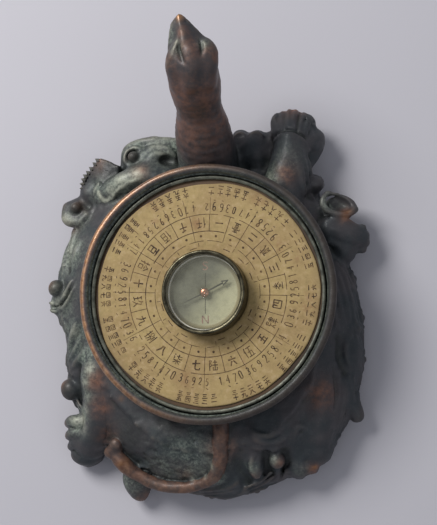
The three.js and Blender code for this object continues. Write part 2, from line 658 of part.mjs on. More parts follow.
// The needle lies along +X here, and its group turns it to its heading
function needlePlate() {
  const half = needleWidth / 2;
  const eye = hubNeckRadius + 0.3;
  const eyeAngle = Math.asin(half / eye);
  const arrowFoot = needleReach - needleArrowLength;
  const shape = new THREE.Shape();
  shape.moveTo(-needleReach, -half);
  shape.absarc(0, 0, eye, Math.PI + eyeAngle, 2 * Math.PI - eyeAngle, false);
  shape.lineTo(arrowFoot, -half);
  shape.lineTo(arrowFoot - 0.2, -needleArrowHalfWidth);
  shape.lineTo(needleReach, -0.1);
  shape.lineTo(needleReach, 0.1);
  shape.lineTo(arrowFoot - 0.2, needleArrowHalfWidth);
  shape.lineTo(arrowFoot, half);
  shape.absarc(0, 0, eye, eyeAngle, Math.PI - eyeAngle, false);
  shape.lineTo(-needleReach, half);
  const hole = new THREE.Path();
  hole.absarc(0, 0, hubNeckRadius + 0.05, 0, 2 * Math.PI, false);
  const window = new THREE.Path();
  window.moveTo(arrowFoot + 0.15, -needleArrowHalfWidth * 0.45);
  window.lineTo(arrowFoot + 0.15, needleArrowHalfWidth * 0.45);
  window.lineTo(needleReach - 0.65, 0);
  shape.holes.push(hole, window);
  const plate = new THREE.ExtrudeGeometry(shape, {
    depth: needleThickness,
    bevelEnabled: false,
    curveSegments: 8,
  });
  return toSolid(plate.translate(0, 0, needleBottom));
}

function needleCap() {
  const neckTop = needleBottom + needleThickness;
  const bottom = needleBottom - hubFlangeHeight;
  return lathe([
    [hubSocketRadius, bottom], [hubRadius - 0.1, bottom], [hubRadius - 0.1, needleBottom],
    [hubNeckRadius, needleBottom], [hubNeckRadius, neckTop], [hubRadius, neckTop],
    [hubRadius * 0.86, neckTop + hubDomeHeight * 0.55], [hubRadius * 0.5, neckTop + hubDomeHeight * 0.9],
    [0, neckTop + hubDomeHeight], [0, neckTop + 0.2], [0.2, neckTop + 0.15], [hubSocketRadius, bottom],
  ], 20);
}

const glassRadius = caseRadius - slipGap;
const compassGlass = () => disc(glassRadius, caseTop, glassTop, capsuleSides);

function compassBezel() {
  const inner = caseRadius + threadGap;
  const outer = inner + bezelWall;
  const lip = caseRadius - bezelLip;
  const top = glassTop + bezelLipHeight;
  return lathe([
    [inner, paperTop], [outer, paperTop], [outer, top - 0.6], [outer - 0.25, top - 0.1], [outer - 0.6, top],
    [lip, top - 0.25], [lip, glassTop], [inner, glassTop], [inner, paperTop],
  ], capsuleSides);
}

// Underside
function screwForm(grow) {
  return lathe([
    [0, underside - grow], [screwHeadRadius + grow, underside - grow],
    [screwRadius + grow, underside + screwHeadHeight], [screwRadius + grow, underside + screwLength],
    [0, underside + screwLength],
  ], boltSides);
}

function baseScrew() {
  const slot = new THREE.BoxGeometry(3 * screwHeadRadius, screwSlot, 2 * screwSlot);
  return screwForm(0).subtract(toSolid(slot.translate(0, 0, underside)));
}

function basePlate() {
  const plate = outlineSolid([[underside, plateInset], [plateTop, plateInset]]);
  return cut(plate, bossPlaces.map(([x, y]) => at(screwForm(slipGap), x, y)));
}

function corkPad() {
  const pad = outlineSolid([[0, padInset], [underside, padInset]]);
  return cut(pad, bossPlaces.map(([x, y]) => at(disc(padHoleRadius, -1, underside + 1, boltSides), x, y)));
}

// Bronze limbs, each cut to the body and to the dish that it passes
const bodyNeighbour = bodyForm(castGap);
const dishNeighbour = dishEnvelope(castGap);

function fitted(solids, pegPath) {
  const trimmed = cut(join(solids), [bodyNeighbour, dishNeighbour, belowTable])
    .asOriginal()
    .simplify(facetTolerance);
  return pegPath ? trimmed.add(peg(pegPath)) : trimmed;
}

function neckAndHead() {
  return fitted([limb(neckPath, { sides: 14 }), mass(skull), mass(brow), hull(beak)], neckPeg);
}

function frontRightLeg() {
  return fitted([
    limb(frontRightLimb),
    hull(frontRightFan),
    ...frontRightToes.map((path) => limb(path, { sides: 7, stepsPerSpan: 2 })),
  ], frontRightPeg);
}

function frontLeftLeg() {
  const edge = new THREE.CatmullRomCurve3(crestEdge.map((point) => new THREE.Vector3(...point)));
  const teeth = edge.getSpacedPoints(crestTeeth - 1)
    .map(({ x, y, z }) => mass([x, y, z, crestToothRadius, crestToothRadius, crestToothRadius]));
  return fitted([
    limb(frontLeftLimb),
    hull(crest),
    ...teeth,
    ...frontLeftToes.map((path) => limb(path, { sides: 7, stepsPerSpan: 2 })),
  ], frontLeftPeg);
}

function rearLeftLeg() {
  return fitted([
    limb(rearLeftLimb),
    mass(rearLeftPalm),
    mass(rearLeftHeel),
    ...rearLeftToes.map((path) => limb(path, { sides: 7, stepsPerSpan: 2 })),
  ], rearLeftPeg);
}

function rearRightLeg() {
  return fitted([
    limb(rearRightLimb),
    mass(rearRightHeel),
    ...rearRightToes.map((path) => limb(path, { sides: 7, stepsPerSpan: 2 })),
  ], rearRightPeg);
}

function curledTail() {
  const knuckles = tailKnuckles.map(([x, y, z, radius]) => mass([x, y, z, radius, radius, radius]));
  return fitted([limb(tailPath, { sides: 8, stepsPerSpan: 2 }), ...knuckles]).add(tailPeg(0));
}

// Materials
const bronze = new THREE.MeshStandardMaterial({ color: 0x3a3436, roughness: 0.42, metalness: 0.85 });
const wornBronze = new THREE.MeshStandardMaterial({ color: 0x7a4f3a, roughness: 0.35, metalness: 0.9 });
const pewter = new THREE.MeshStandardMaterial({ color: 0x6f7870, roughness: 0.4, metalness: 0.8 });
const brass = new THREE.MeshStandardMaterial({ color: 0xa08a52, roughness: 0.4, metalness: 0.9 });
const nickel = new THREE.MeshStandardMaterial({ color: 0x8c8b78, roughness: 0.3, metalness: 0.9 });
const wood = new THREE.MeshStandardMaterial({ color: 0x7a5c3c, roughness: 0.7, metalness: 0 });
const paper = new THREE.MeshStandardMaterial({ color: 0xbda675, roughness: 0.8, metalness: 0 });
const card = new THREE.MeshStandardMaterial({ color: 0x93998a, roughness: 0.7, metalness: 0 });
const copper = new THREE.MeshStandardMaterial({ color: 0xc08a72, roughness: 0.3, metalness: 0.9 });
const steel = new THREE.MeshStandardMaterial({ color: 0x3f4038, roughness: 0.35, metalness: 0.9 });
const glass = new THREE.MeshStandardMaterial({
  color: 0xdfe6e2,
  roughness: 0.05,
  transparent: true,
  opacity: 0.25,
});
const cork = new THREE.MeshStandardMaterial({ color: 0x8a6440, roughness: 0.9, metalness: 0 });

// Assembly
const feng_shui_compass = new THREE.Group();

function place(parent, name, solid, material) {
  const mesh = new THREE.Mesh(toGeometry(solid), material);
  mesh.name = name;
  parent.add(mesh);
  return mesh;
}

const figure = new THREE.Group();
place(figure, 'body_casting', bodyCasting(), bronze);
place(figure, 'neck_and_head', neckAndHead(), bronze);
place(figure, 'front_right_leg', frontRightLeg(), bronze);
place(figure, 'front_left_leg', frontLeftLeg(), bronze);
place(figure, 'rear_left_leg', rearLeftLeg(), bronze);
place(figure, 'rear_right_leg', rearRightLeg(), bronze);
place(figure, 'curled_tail', curledTail(), wornBronze);

const dial = new THREE.Group();
place(dial, 'dial_dish', dialDish(), wornBronze);
place(dial, 'dish_washer', dishWasher(), brass);
place(dial, 'dish_nut', dishNut(), brass);
place(dial, 'dial_disc', dialDisc(), wood);
place(dial, 'dial_paper', dialPaper(), paper);
place(dial, 'retaining_ring', retainingRing(), pewter);

const capsule = new THREE.Group();
place(capsule, 'compass_case', compassCase(), brass);
place(capsule, 'pivot_base', pivotBase(), brass);
place(capsule, 'compass_card', compassCard(), card);
place(capsule, 'card_ring', cardRing(), nickel);
place(capsule, 'pivot_pin', pivotPin(), steel);
place(capsule, 'compass_glass', compassGlass(), glass);
place(capsule, 'compass_bezel', compassBezel(), nickel);

const pointer = new THREE.Group();
pointer.rotation.z = THREE.MathUtils.degToRad(needleHeading);
place(pointer, 'needle', needlePlate(), steel);
place(pointer, 'needle_cap', needleCap(), copper);
capsule.add(pointer);

const base = new THREE.Group();
place(base, 'base_plate', basePlate(), brass);
bossPlaces.forEach(([x, y], index) => {
  place(base, `base_screw_${index + 1}`, baseScrew(), steel).position.set(x, y, 0);
});
place(base, 'cork_pad', corkPad(), cork);

feng_shui_compass.add(figure, dial, capsule, base);

export default feng_shui_compass;
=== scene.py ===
"""Looks of the feng shui compass: a dark bronze tortoise on a skirt of waves, with its neck stretched,
carries a dish with a copper-worn rim, a printed paper dial and a small glass-topped compass.

Sizes are in millimetres, and become metres where a mesh is made. +Z is up and +Y towards the head."""

import math
import random

import bmesh
import bpy
import numpy as np
from mathutils import Matrix, Vector


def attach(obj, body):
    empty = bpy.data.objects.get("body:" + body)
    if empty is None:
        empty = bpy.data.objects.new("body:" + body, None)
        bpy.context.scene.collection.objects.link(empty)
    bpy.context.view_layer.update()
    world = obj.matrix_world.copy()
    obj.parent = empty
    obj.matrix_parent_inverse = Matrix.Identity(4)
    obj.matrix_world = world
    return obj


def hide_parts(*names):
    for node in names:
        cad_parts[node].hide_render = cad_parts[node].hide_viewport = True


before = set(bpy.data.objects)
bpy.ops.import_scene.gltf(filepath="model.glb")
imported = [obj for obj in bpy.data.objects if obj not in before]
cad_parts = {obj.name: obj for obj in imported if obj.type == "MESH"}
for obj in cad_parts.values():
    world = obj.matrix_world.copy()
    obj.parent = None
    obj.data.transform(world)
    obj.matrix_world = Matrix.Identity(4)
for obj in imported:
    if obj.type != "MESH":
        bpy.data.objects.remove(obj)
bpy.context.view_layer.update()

MM = 0.001

# Heights and radii that the solids share with the looks
UNDERSIDE = 0.8
WIDEST = 6.0
DECK = 17.0
DISH_RADIUS = 34.05
BEAD_RADIUS = 1.15
RIM_TOP = 25.4
DISC_TOP = 22.4
PAPER_TOP = 22.68
CASE_TOP = 27.3
CARD_TOP = 25.2
GLASS_TOP = 28.2
NEEDLE_TOP = 26.4

# Outline of the skirt of waves, seen from above, and the section of the shell inside it
SKIRT_OUTLINE = [
    (-2, 37), (-19, 36.5), (-31.5, 30.5), (-40, 20.5), (-44.3, 8), (-44.6, -5), (-43, -18), (-38.5, -30.5),
    (-29, -41.5), (-14, -50), (2, -52.5), (16, -48.5), (28, -41), (35.5, -30), (38.4, -16), (37.4, -1),
    (33, 14), (27, 27), (15, 35),
]
SHELL_CENTRE = (-1.5, -7)
PAST_CENTRE = 60  # more than the inset of any place
SHELL_SECTION = [  # inset from the outline, and height
    (2.2, UNDERSIDE), (0.7, 2.2), (0.1, 4.2), (0, WIDEST), (0.4, 8), (1.6, 10), (4, 12), (7.5, 14.4),
    (11.5, 16.2), (15.5, DECK), (PAST_CENTRE, DECK),
]


# Curves

def smooth_curve(points, steps, closed=False):
    """Points along a Catmull-Rom curve; every column is interpolated, radii too"""
    points = np.asarray(points, float)
    if closed:
        around = np.vstack([points[-1:], points, points[:2]])
        spans = len(points)
    else:
        around = np.vstack([2 * points[0] - points[1], points, 2 * points[-1] - points[-2]])
        spans = len(points) - 1
    t = (np.arange(steps) / steps)[:, None]
    parts = []
    for span in range(spans):
        a, b, c, d = around[span:span + 4]
        parts.append(0.5 * (2 * b + (c - a) * t + (2 * a - 5 * b + 4 * c - d) * t ** 2
                            + (3 * b - a - 3 * c + d) * t ** 3))
    if not closed:
        parts.append(points[-1:])
    return np.vstack(parts)


outline = smooth_curve(SKIRT_OUTLINE, 12, closed=True) - np.array(SHELL_CENTRE)
outline_angle = np.arctan2(outline[:, 1], outline[:, 0])
outline_order = np.argsort(outline_angle)
OUTLINE_ANGLES = outline_angle[outline_order]
OUTLINE_REACH = np.hypot(outline[:, 0], outline[:, 1])[outline_order]


def outline_reach(angle):
    """Distance from the shell's centre to the outline, at an angle in radians"""
    return np.interp(angle, OUTLINE_ANGLES, OUTLINE_REACH, period=2 * math.pi)


def inset_of(x, y):
    """How far a place lies inside the outline, towards the shell's centre"""
    dx = x - SHELL_CENTRE[0]
    dy = y - SHELL_CENTRE[1]
    return outline_reach(np.arctan2(dy, dx)) - np.hypot(dx, dy)


WAIST_ANGLE = 187.5
WAIST_SPREAD = 7.5
WAIST_DEPTH = 2.0


def waist(angle):
    """How much the left flank is drawn in, at an angle in radians"""
    away = (np.degrees(angle) - WAIST_ANGLE + 180) % 360 - 180
    return WAIST_DEPTH * np.exp(-(away / WAIST_SPREAD) ** 2)


def flank_inset(x, y):
    """How far a place lies inside the outer face of the flank"""
    return inset_of(x, y) - waist(np.arctan2(y - SHELL_CENTRE[1], x - SHELL_CENTRE[0]))


section = smooth_curve(SHELL_SECTION, 6)
section_run = np.concatenate([[0], np.cumsum(np.hypot(*np.diff(section, axis=0).T))])


def on_flank(angle, climb, lift):
    """Place on the shell: degrees about its centre, millimetres climbed from its foot, and lifted off it"""
    inset = np.interp(climb, section_run, section[:, 0]) - lift
    height = np.interp(climb, section_run, section[:, 1])
    turn = math.radians(angle)
    reach = float(outline_reach(turn) - waist(turn)) - inset
    return (SHELL_CENTRE[0] + reach * math.cos(turn), SHELL_CENTRE[1] + reach * math.sin(turn), height)


def on_top(x, y):
    """Height of the shell's upper side at a place"""
    upper = section[section[:, 1] >= WIDEST]
    return float(np.interp(max(flank_inset(x, y), 0), upper[:, 0], upper[:, 1]))


# Clay: distance fields on one grid, below zero inside, in millimetres

FAR = 3.0  # distances are told apart up to here
DEEP = 20.0  # farther inside than any place of a wedge
CELL = 0.4
GRID_LOW = (-50.0, -57.5, -1.5)
GRID_HIGH = (44.5, 70.5, 50.0)
AXES = [np.arange(low, high, CELL, dtype=np.float32) for low, high in zip(GRID_LOW, GRID_HIGH)]
SHAPE = tuple(len(axis) for axis in AXES)


def window(low, high):
    """Slices of the grid that cover a box, and the three coordinates there"""
    parts = []
    for axis, a, b in zip(AXES, low, high):
        first = max(0, int((a - axis[0]) / CELL))
        last = min(len(axis), int((b - axis[0]) / CELL) + 2)
        parts.append(slice(first, max(first, last)))
    x, y, z = (axis[part] for axis, part in zip(AXES, parts))
    return tuple(parts), x[:, None, None], y[None, :, None], z[None, None, :]


def smooth_min(a, b, blend):
    """The lesser of two distances, rounded off where they are within blend of each other"""
    overlap = np.clip(blend - np.abs(a - b), 0, None) / blend
    return np.minimum(a, b) - overlap * overlap * blend * 0.25


SECTION_SPAN = (-16, 62)
SECTION_STEP = 0.1


def section_field(points, across):
    """Signed distance to a closed section, where across holds each column's place in the section"""
    u = np.arange(*SECTION_SPAN, SECTION_STEP)
    ring = np.asarray(points, float)
    ends = np.roll(ring, -1, axis=0)
    values = np.empty(across.shape + (SHAPE[2],), np.float32)
    for level, z in enumerate(AXES[2]):
        nearest = np.full(len(u), 1e9)
        crossings = np.zeros(len(u), int)
        for (au, az), (bu, bz) in zip(ring, ends):
            du, dz = bu - au, bz - az
            t = np.clip(((u - au) * du + (z - az) * dz) / (du * du + dz * dz + 1e-12), 0, 1)
            nearest = np.minimum(nearest, np.hypot(u - au - t * du, z - az - t * dz))
            if (az > z) != (bz > z):
                crossings += u < au + (z - az) / dz * du
        signed = np.where(crossings % 2 == 1, -nearest, nearest)
        values[..., level] = np.interp(across, u, signed)
    return np.clip(values, -FAR, FAR)


class Clay:
    """One casting while it is shaped"""

    def __init__(self):
        self.values = np.full(SHAPE, FAR, np.float32)

    def press(self, part, distance, blend, carve):
        """Join a shape to the casting, or carve it out"""
        old = self.values[part]
        if carve:
            self.values[part] = -smooth_min(-old, distance, blend)
        else:
            self.values[part] = smooth_min(old, distance, blend)

    def stroke(self, path, blend=0.7, steps=4, carve=False):
        """A round bar along points of x, y, z and radius"""
        points = smooth_curve(path, steps)
        low = (points[:, :3] - points[:, 3:]).min(0) - FAR
        high = (points[:, :3] + points[:, 3:]).max(0) + FAR
        part, _, _, _ = window(low, high)
        nearest = np.full(tuple(p.stop - p.start for p in part), FAR, np.float32)
        for a, b in zip(points[:-1], points[1:]):
            reach = max(a[3], b[3]) + FAR
            inner, _, _, _ = window(np.minimum(a, b)[:3] - reach, np.maximum(a, b)[:3] + reach)
            span = [(max(i.start, p.start), min(i.stop, p.stop)) for i, p in zip(inner, part)]
            if any(start >= stop for start, stop in span):
                continue
            x, y, z = np.ix_(*(axis[start:stop] for axis, (start, stop) in zip(AXES, span)))
            local = tuple(slice(start - p.start, stop - p.start) for (start, stop), p in zip(span, part))
            run = (b - a).astype(np.float32)
            px, py, pz = x - np.float32(a[0]), y - np.float32(a[1]), z - np.float32(a[2])
            t = np.clip((px * run[0] + py * run[1] + pz * run[2]) / (run[:3] @ run[:3] + 1e-9), 0, 1)
            gap = np.sqrt((px - t * run[0]) ** 2 + (py - t * run[1]) ** 2 + (pz - t * run[2]) ** 2)
            gap -= np.float32(a[3]) + t * run[3]
            nearest[local] = np.minimum(nearest[local], gap)
        self.press(part, nearest, blend, carve)

    def strokes(self, paths, blend=0.7, carve=False):
        for path in paths:
            self.stroke(path, blend, carve=carve)

    def mass(self, place, turn=0.0, blend=0.9, carve=False):
        """An ellipsoid: x, y, z and its three radii, turned about the vertical"""
        cx, cy, cz, rx, ry, rz = place
        reach = max(rx, ry, rz) + FAR
        part, x, y, z = window((cx - reach, cy - reach, cz - reach), (cx + reach, cy + reach, cz + reach))
        c, s = math.cos(math.radians(turn)), math.sin(math.radians(turn))
        px, py, pz = (x - cx) * c + (y - cy) * s, (y - cy) * c - (x - cx) * s, z - cz
        outer = np.sqrt((px / rx) ** 2 + (py / ry) ** 2 + (pz / rz) ** 2)
        slope = np.sqrt((px / rx ** 2) ** 2 + (py / ry ** 2) ** 2 + (pz / rz ** 2) ** 2) + 1e-6
        self.press(part, np.clip(outer * (outer - 1) / slope, -reach, FAR), blend, carve)

    def ball(self, place, blend=0.35, carve=False):
        x, y, z, radius = place
        self.mass((x, y, z, radius, radius, radius), blend=blend, carve=carve)

    def ring(self, place):
        """A curl of a wave: x, y, z, radius across, tube, and the two angles that it runs between"""
        x, y, z, radius, tube, start, end = place
        turns = np.radians(np.linspace(start, end, 17))
        bar = [(x + radius * math.cos(t), y + radius * math.sin(t), z, tube) for t in turns]
        self.stroke(bar, blend=0.6, steps=1)

    def wedge(self, corners, blend, rounding):
        """A convex block with softened edges"""
        mesh = bmesh.new()
        for corner in corners:
            mesh.verts.new(corner)
        bmesh.ops.convex_hull(mesh, input=mesh.verts)
        mesh.normal_update()
        planes = {tuple(round(c, 4) for c in (*face.normal, face.normal.dot(face.verts[0].co)))
                  for face in mesh.faces}
        mesh.free()
        corners = np.asarray(corners, float)
        part, x, y, z = window(corners.min(0) - FAR, corners.max(0) + FAR)
        distance = np.full(tuple(p.stop - p.start for p in part), -DEEP, np.float32)
        for nx, ny, nz, offset in sorted(planes):
            distance = -smooth_min(-distance, -(nx * x + ny * y + nz * z - offset), rounding)
        self.press(part, np.clip(distance, -DEEP, FAR), blend, False)


def top_of(clay, x, y):
    """Height of a casting's upper surface at a place"""
    column = clay.values[round(float((x - AXES[0][0]) / CELL)), round(float((y - AXES[1][0]) / CELL))]
    last = int(np.flatnonzero(column < 0)[-1])
    share = column[last] / (column[last] - column[last + 1])
    return float(AXES[2][last] + share * CELL)


def noise_field(scale, seed):
    """Smooth random values between -1 and 1 that change over about this many millimetres"""
    source = np.random.default_rng(seed)
    counts = [int((axis[-1] - axis[0]) / scale) + 3 for axis in AXES]
    values = source.uniform(-1, 1, counts).astype(np.float32)
    for dimension, axis in enumerate(AXES):
        place = (axis - axis[0]) / scale
        low = place.astype(int)
        t = place - low
        t = t * t * (3 - 2 * t)
        shape = [1, 1, 1]
        shape[dimension] = len(axis)
        t = t.reshape(shape).astype(np.float32)
        values = np.take(values, low, dimension) * (1 - t) + np.take(values, low + 1, dimension) * t
    return values


def blurred(values, reach):
    """Values averaged over a box of about this many millimetres each way, twice over"""
    width = max(1, int(round(reach / CELL)))
    for _ in range(2):
        for dimension in range(3):
            total = values.copy()
            for step in range(1, width + 1):
                total += np.roll(values, step, dimension) + np.roll(values, -step, dimension)
            values = total / (2 * width + 1)
    return values


def sampled(values, places):
    """Values of a field at places, which are in grid cells"""
    low = np.clip(places.astype(int), 0, np.array(SHAPE) - 2)
    t = np.clip(places - low, 0, 1)
    total = np.zeros(len(places))
    for corner in range(8):
        step = np.array([corner >> 2 & 1, corner >> 1 & 1, corner & 1])
        weight = np.prod(np.where(step == 1, t, 1 - t), axis=1)
        at = low + step
        total += weight * values[at[:, 0], at[:, 1], at[:, 2]]
    return total


def skin(values, offset):
    """Vertices, in grid cells, and four-sided faces where a field passes zero"""
    inside = values < 0
    shape = np.array(values.shape) - 1
    count = np.zeros(tuple(shape), np.int8)
    corner_parts = []
    for corner in range(8):
        step = (corner >> 2 & 1, corner >> 1 & 1, corner & 1)
        part = tuple(slice(s, s + n) for s, n in zip(step, shape))
        corner_parts.append(step)
        count += inside[part]
    cells = np.argwhere((count > 0) & (count < 8))
    index = np.full(tuple(shape), -1, np.int64)
    index[tuple(cells.T)] = np.arange(len(cells))
    total = np.zeros((len(cells), 3))
    crossings = np.zeros(len(cells))
    for first in range(8):
        for bit in (4, 2, 1):
            if first & bit:
                continue
            a, b = np.array(corner_parts[first]), np.array(corner_parts[first | bit])
            va = values[tuple((cells + a).T)]
            vb = values[tuple((cells + b).T)]
            cross = (va < 0) != (vb < 0)
            t = np.where(cross, va / np.where(cross, va - vb, 1), 0)
            total += np.where(cross[:, None], a + (b - a) * t[:, None], 0)
            crossings += cross
    vertices = cells + total / crossings[:, None] + offset
    faces = []
    for axis in range(3):
        b, c = (axis + 1) % 3, (axis + 2) % 3
        lower = [slice(1, -1)] * 3
        lower[axis] = slice(0, -1)
        upper = list(lower)
        upper[axis] = slice(1, None)
        low_in, high_in = inside[tuple(lower)], inside[tuple(upper)]
        start = np.ones(3, int)
        start[axis] = 0
        for outward, mask in ((1, low_in & ~high_in), (-1, ~low_in & high_in)):
            edges = np.argwhere(mask) + start
            ring = []
            for step_b, step_c in ((1, 1), (0, 1), (0, 0), (1, 0)):
                cell = edges.copy()
                cell[:, b] -= step_b
                cell[:, c] -= step_c
                ring.append(index[tuple(cell.T)])
            faces.append(np.stack(ring[::outward], axis=1))
    return vertices, np.vstack(faces)


CRUMB_ROUNDS = 24


def without_crumbs(vertices, faces):
    """The mesh without its loose parts that are so small that a mark spreads all over them in the rounds"""
    a = faces.ravel()
    b = np.roll(faces, -1, axis=1).ravel()
    mark = np.arange(len(vertices))
    for _ in range(CRUMB_ROUNDS):
        lower = np.minimum(mark[a], mark[b])
        np.minimum.at(mark, a, lower)
        np.minimum.at(mark, b, lower)
    joined = np.zeros(len(vertices), bool)
    joined[mark[a][mark[a] != mark[b]]] = True
    joined[mark[b][mark[a] != mark[b]]] = True
    kept = joined[mark]
    if not kept.any():
        return vertices, faces
    renumbered = np.cumsum(kept) - 1
    return vertices[kept], renumbered[faces[kept[faces[:, 0]]]]


def relaxed(vertices, faces, rounds, share, held):
    """Vertices drawn towards the middle of their neighbours, except the held ones and what they touch"""
    a = faces.ravel()
    b = np.roll(faces, -1, axis=1).ravel()
    links = np.bincount(a, minlength=len(vertices)) + np.bincount(b, minlength=len(vertices))
    touched = np.bincount(a, held[b], len(vertices)) + np.bincount(b, held[a], len(vertices))
    share = np.where(held | (touched > 0), 0, share)[:, None]
    for _ in range(rounds):
        middle = np.empty_like(vertices)
        for axis in range(3):
            middle[:, axis] = (np.bincount(a, vertices[b, axis], len(vertices))
                               + np.bincount(b, vertices[a, axis], len(vertices))) / links
        vertices = vertices + (middle - vertices) * share
    return vertices


# Objects

def make_object(name, vertices, faces, material, attributes=None, smooth=True):
    """A mesh object from places in millimetres; an attribute is its values, or a function of the places"""
    vertices = np.asarray(vertices)
    mesh = bpy.data.meshes.new(name)
    mesh.from_pydata((vertices * MM).tolist(), [], faces.tolist() if isinstance(faces, np.ndarray) else faces)
    for attribute, values in (attributes or {}).items():
        if callable(values):
            values = values(vertices)
        layer = mesh.attributes.new(attribute, "FLOAT", "POINT")
        layer.data.foreach_set("value", np.asarray(values, np.float32))
    mesh.materials.append(material)
    if smooth:
        mesh.shade_smooth()
    mesh.update()
    piece = bpy.data.objects.new(name, mesh)
    bpy.context.scene.collection.objects.link(piece)
    return piece


def finish_piece(piece, body, slot, *nodes):
    """Say which body a piece rides and which solids it replaces; the slot is not used"""
    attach(piece, body)
    if nodes:
        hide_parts(*nodes)


def turned(name, profile, sides, material, wobble=None, attributes=None):
    """A turned piece from a closed profile of radius and height; wobble moves a point by angle"""
    profile = np.asarray(profile, float)
    turns = np.linspace(0, 2 * math.pi, sides, endpoint=False)
    rows = []
    for turn in turns:
        radius, height = profile[:, 0].copy(), profile[:, 1].copy()
        if wobble:
            radius, height = wobble(turn, radius, height)
        rows.append(np.stack([radius * math.cos(turn), radius * math.sin(turn), height], axis=1))
    count = len(profile)
    vertices = np.vstack(rows)
    side = np.arange(sides)[:, None] * count
    following = ((np.arange(sides) + 1) % sides)[:, None] * count
    step = np.arange(count)[None, :]
    after = (step + 1) % count
    faces = np.stack([side + step, following + step, following + after, side + after], axis=2).reshape(-1, 4)
    return make_object(name, vertices, faces, material, attributes)


def disc_piece(name, rings, sides, material, height, thickness, attributes=None):
    """A thin round sheet: rings of radius by angle, height by place, closed below"""
    turns = np.linspace(0, 2 * math.pi, sides, endpoint=False)
    top, bottom = [], []
    for ring in rings:
        radii = ring(turns) if callable(ring) else np.full(sides, float(ring))
        x, y = radii * np.cos(turns), radii * np.sin(turns)
        z = height(x, y)
        top.append(np.stack([x, y, z], axis=1))
        bottom.append(np.stack([x, y, z - thickness], axis=1))
    layers = top + bottom[::-1]
    vertices = np.vstack(layers)
    count = len(layers)
    side = np.arange(sides)
    following = (side + 1) % sides
    faces = []
    for layer in range(count):
        onward = (layer + 1) % count
        faces.append(np.stack([layer * sides + side, onward * sides + side,
                               onward * sides + following, layer * sides + following], axis=1))
    return make_object(name, vertices, np.vstack(faces), material, attributes)


# Materials

SOCKET_NAMES = {
    "color": "Base Color", "metallic": "Metallic", "roughness": "Roughness", "normal": "Normal",
    "ior": "IOR", "alpha": "Alpha", "coat": "Coat Weight", "coat_roughness": "Coat Roughness",
}
MIX_COLORS = (6, 7)  # sockets of a mix node for colours, which share their names with others
MIX_RESULT = 2


def srgb(code):
    """Linear colour from a six-digit web colour"""
    channels = [int(code[i:i + 2], 16) / 255 for i in (0, 2, 4)]
    return tuple(c / 12.92 if c <= 0.04045 else ((c + 0.055) / 1.055) ** 2.4 for c in channels)


class Nodes:
    """Short names for the nodes of one material"""

    def __init__(self, name):
        self.material = bpy.data.materials.new(name)
        self.material.use_nodes = True
        self.tree = self.material.node_tree
        self.shader = self.tree.nodes["Principled BSDF"]

    def plug(self, socket, value):
        """Give a socket the output of a node, a web colour or a number"""
        if isinstance(value, bpy.types.NodeSocket):
            self.tree.links.new(value, socket)
        elif isinstance(value, str):
            socket.default_value = (*srgb(value), 1)
        else:
            socket.default_value = value

    def set(self, **values):
        for key, value in values.items():
            self.plug(self.shader.inputs[SOCKET_NAMES[key]], value)
        return self.material

    def add(self, kind, **settings):
        node = self.tree.nodes.new(kind)
        for key, value in settings.items():
            setattr(node, key, value)
        return node

    def position(self, scale=(1.0, 1.0, 1.0)):
        """Place in millimetres"""
        place = self.add("ShaderNodeTexCoord").outputs["Object"]
        mapping = self.add("ShaderNodeMapping")
        mapping.inputs["Scale"].default_value = tuple(1000 * s for s in scale)
        self.plug(mapping.inputs["Vector"], place)
        return mapping.outputs["Vector"]

    def noise(self, scale, detail=3.0, rough=0.55, vector=None):
        node = self.add("ShaderNodeTexNoise")
        self.plug(node.inputs["Vector"], vector or self.position())
        node.inputs["Scale"].default_value = 1 / scale
        node.inputs["Detail"].default_value = detail
        node.inputs["Roughness"].default_value = rough
        return node.outputs["Fac"]

    def cells(self, scale, output="Distance"):
        node = self.add("ShaderNodeTexVoronoi")
        self.plug(node.inputs["Vector"], self.position())
        node.inputs["Scale"].default_value = 1.0 / scale
        return node.outputs[output]

    def ramp(self, value, low, high, out_low=0.0, out_high=1.0):
        node = self.add("ShaderNodeMapRange", clamp=True)
        node.interpolation_type = "SMOOTHSTEP"
        self.plug(node.inputs["Value"], value)
        for key, number in (("From Min", low), ("From Max", high), ("To Min", out_low), ("To Max", out_high)):
            node.inputs[key].default_value = number
        return node.outputs["Result"]

    def math(self, operation, a, b, clamp):
        node = self.add("ShaderNodeMath", operation=operation, use_clamp=clamp)
        self.plug(node.inputs[0], a)
        self.plug(node.inputs[1], b)
        return node.outputs[0]

    def times(self, a, b, clamp=False):
        return self.math("MULTIPLY", a, b, clamp)

    def plus(self, a, b, clamp=False):
        return self.math("ADD", a, b, clamp)

    def minus(self, a, b, clamp=False):
        return self.math("SUBTRACT", a, b, clamp)

    def mix(self, factor, a, b):
        """Colour that goes from a to b as the factor goes from 0 to 1"""
        node = self.add("ShaderNodeMix", data_type="RGBA")
        self.plug(node.inputs["Factor"], factor)
        for socket, color in zip(MIX_COLORS, (a, b)):
            self.plug(node.inputs[socket], color)
        return node.outputs[MIX_RESULT]

    def attribute(self, name):
        return self.add("ShaderNodeAttribute", attribute_name=name).outputs["Fac"]

    def bump(self, height, distance, strength):
        node = self.add("ShaderNodeBump")
        self.plug(node.inputs["Height"], height)
        node.inputs["Distance"].default_value = distance * MM
        node.inputs["Strength"].default_value = strength
        return node.outputs["Normal"]


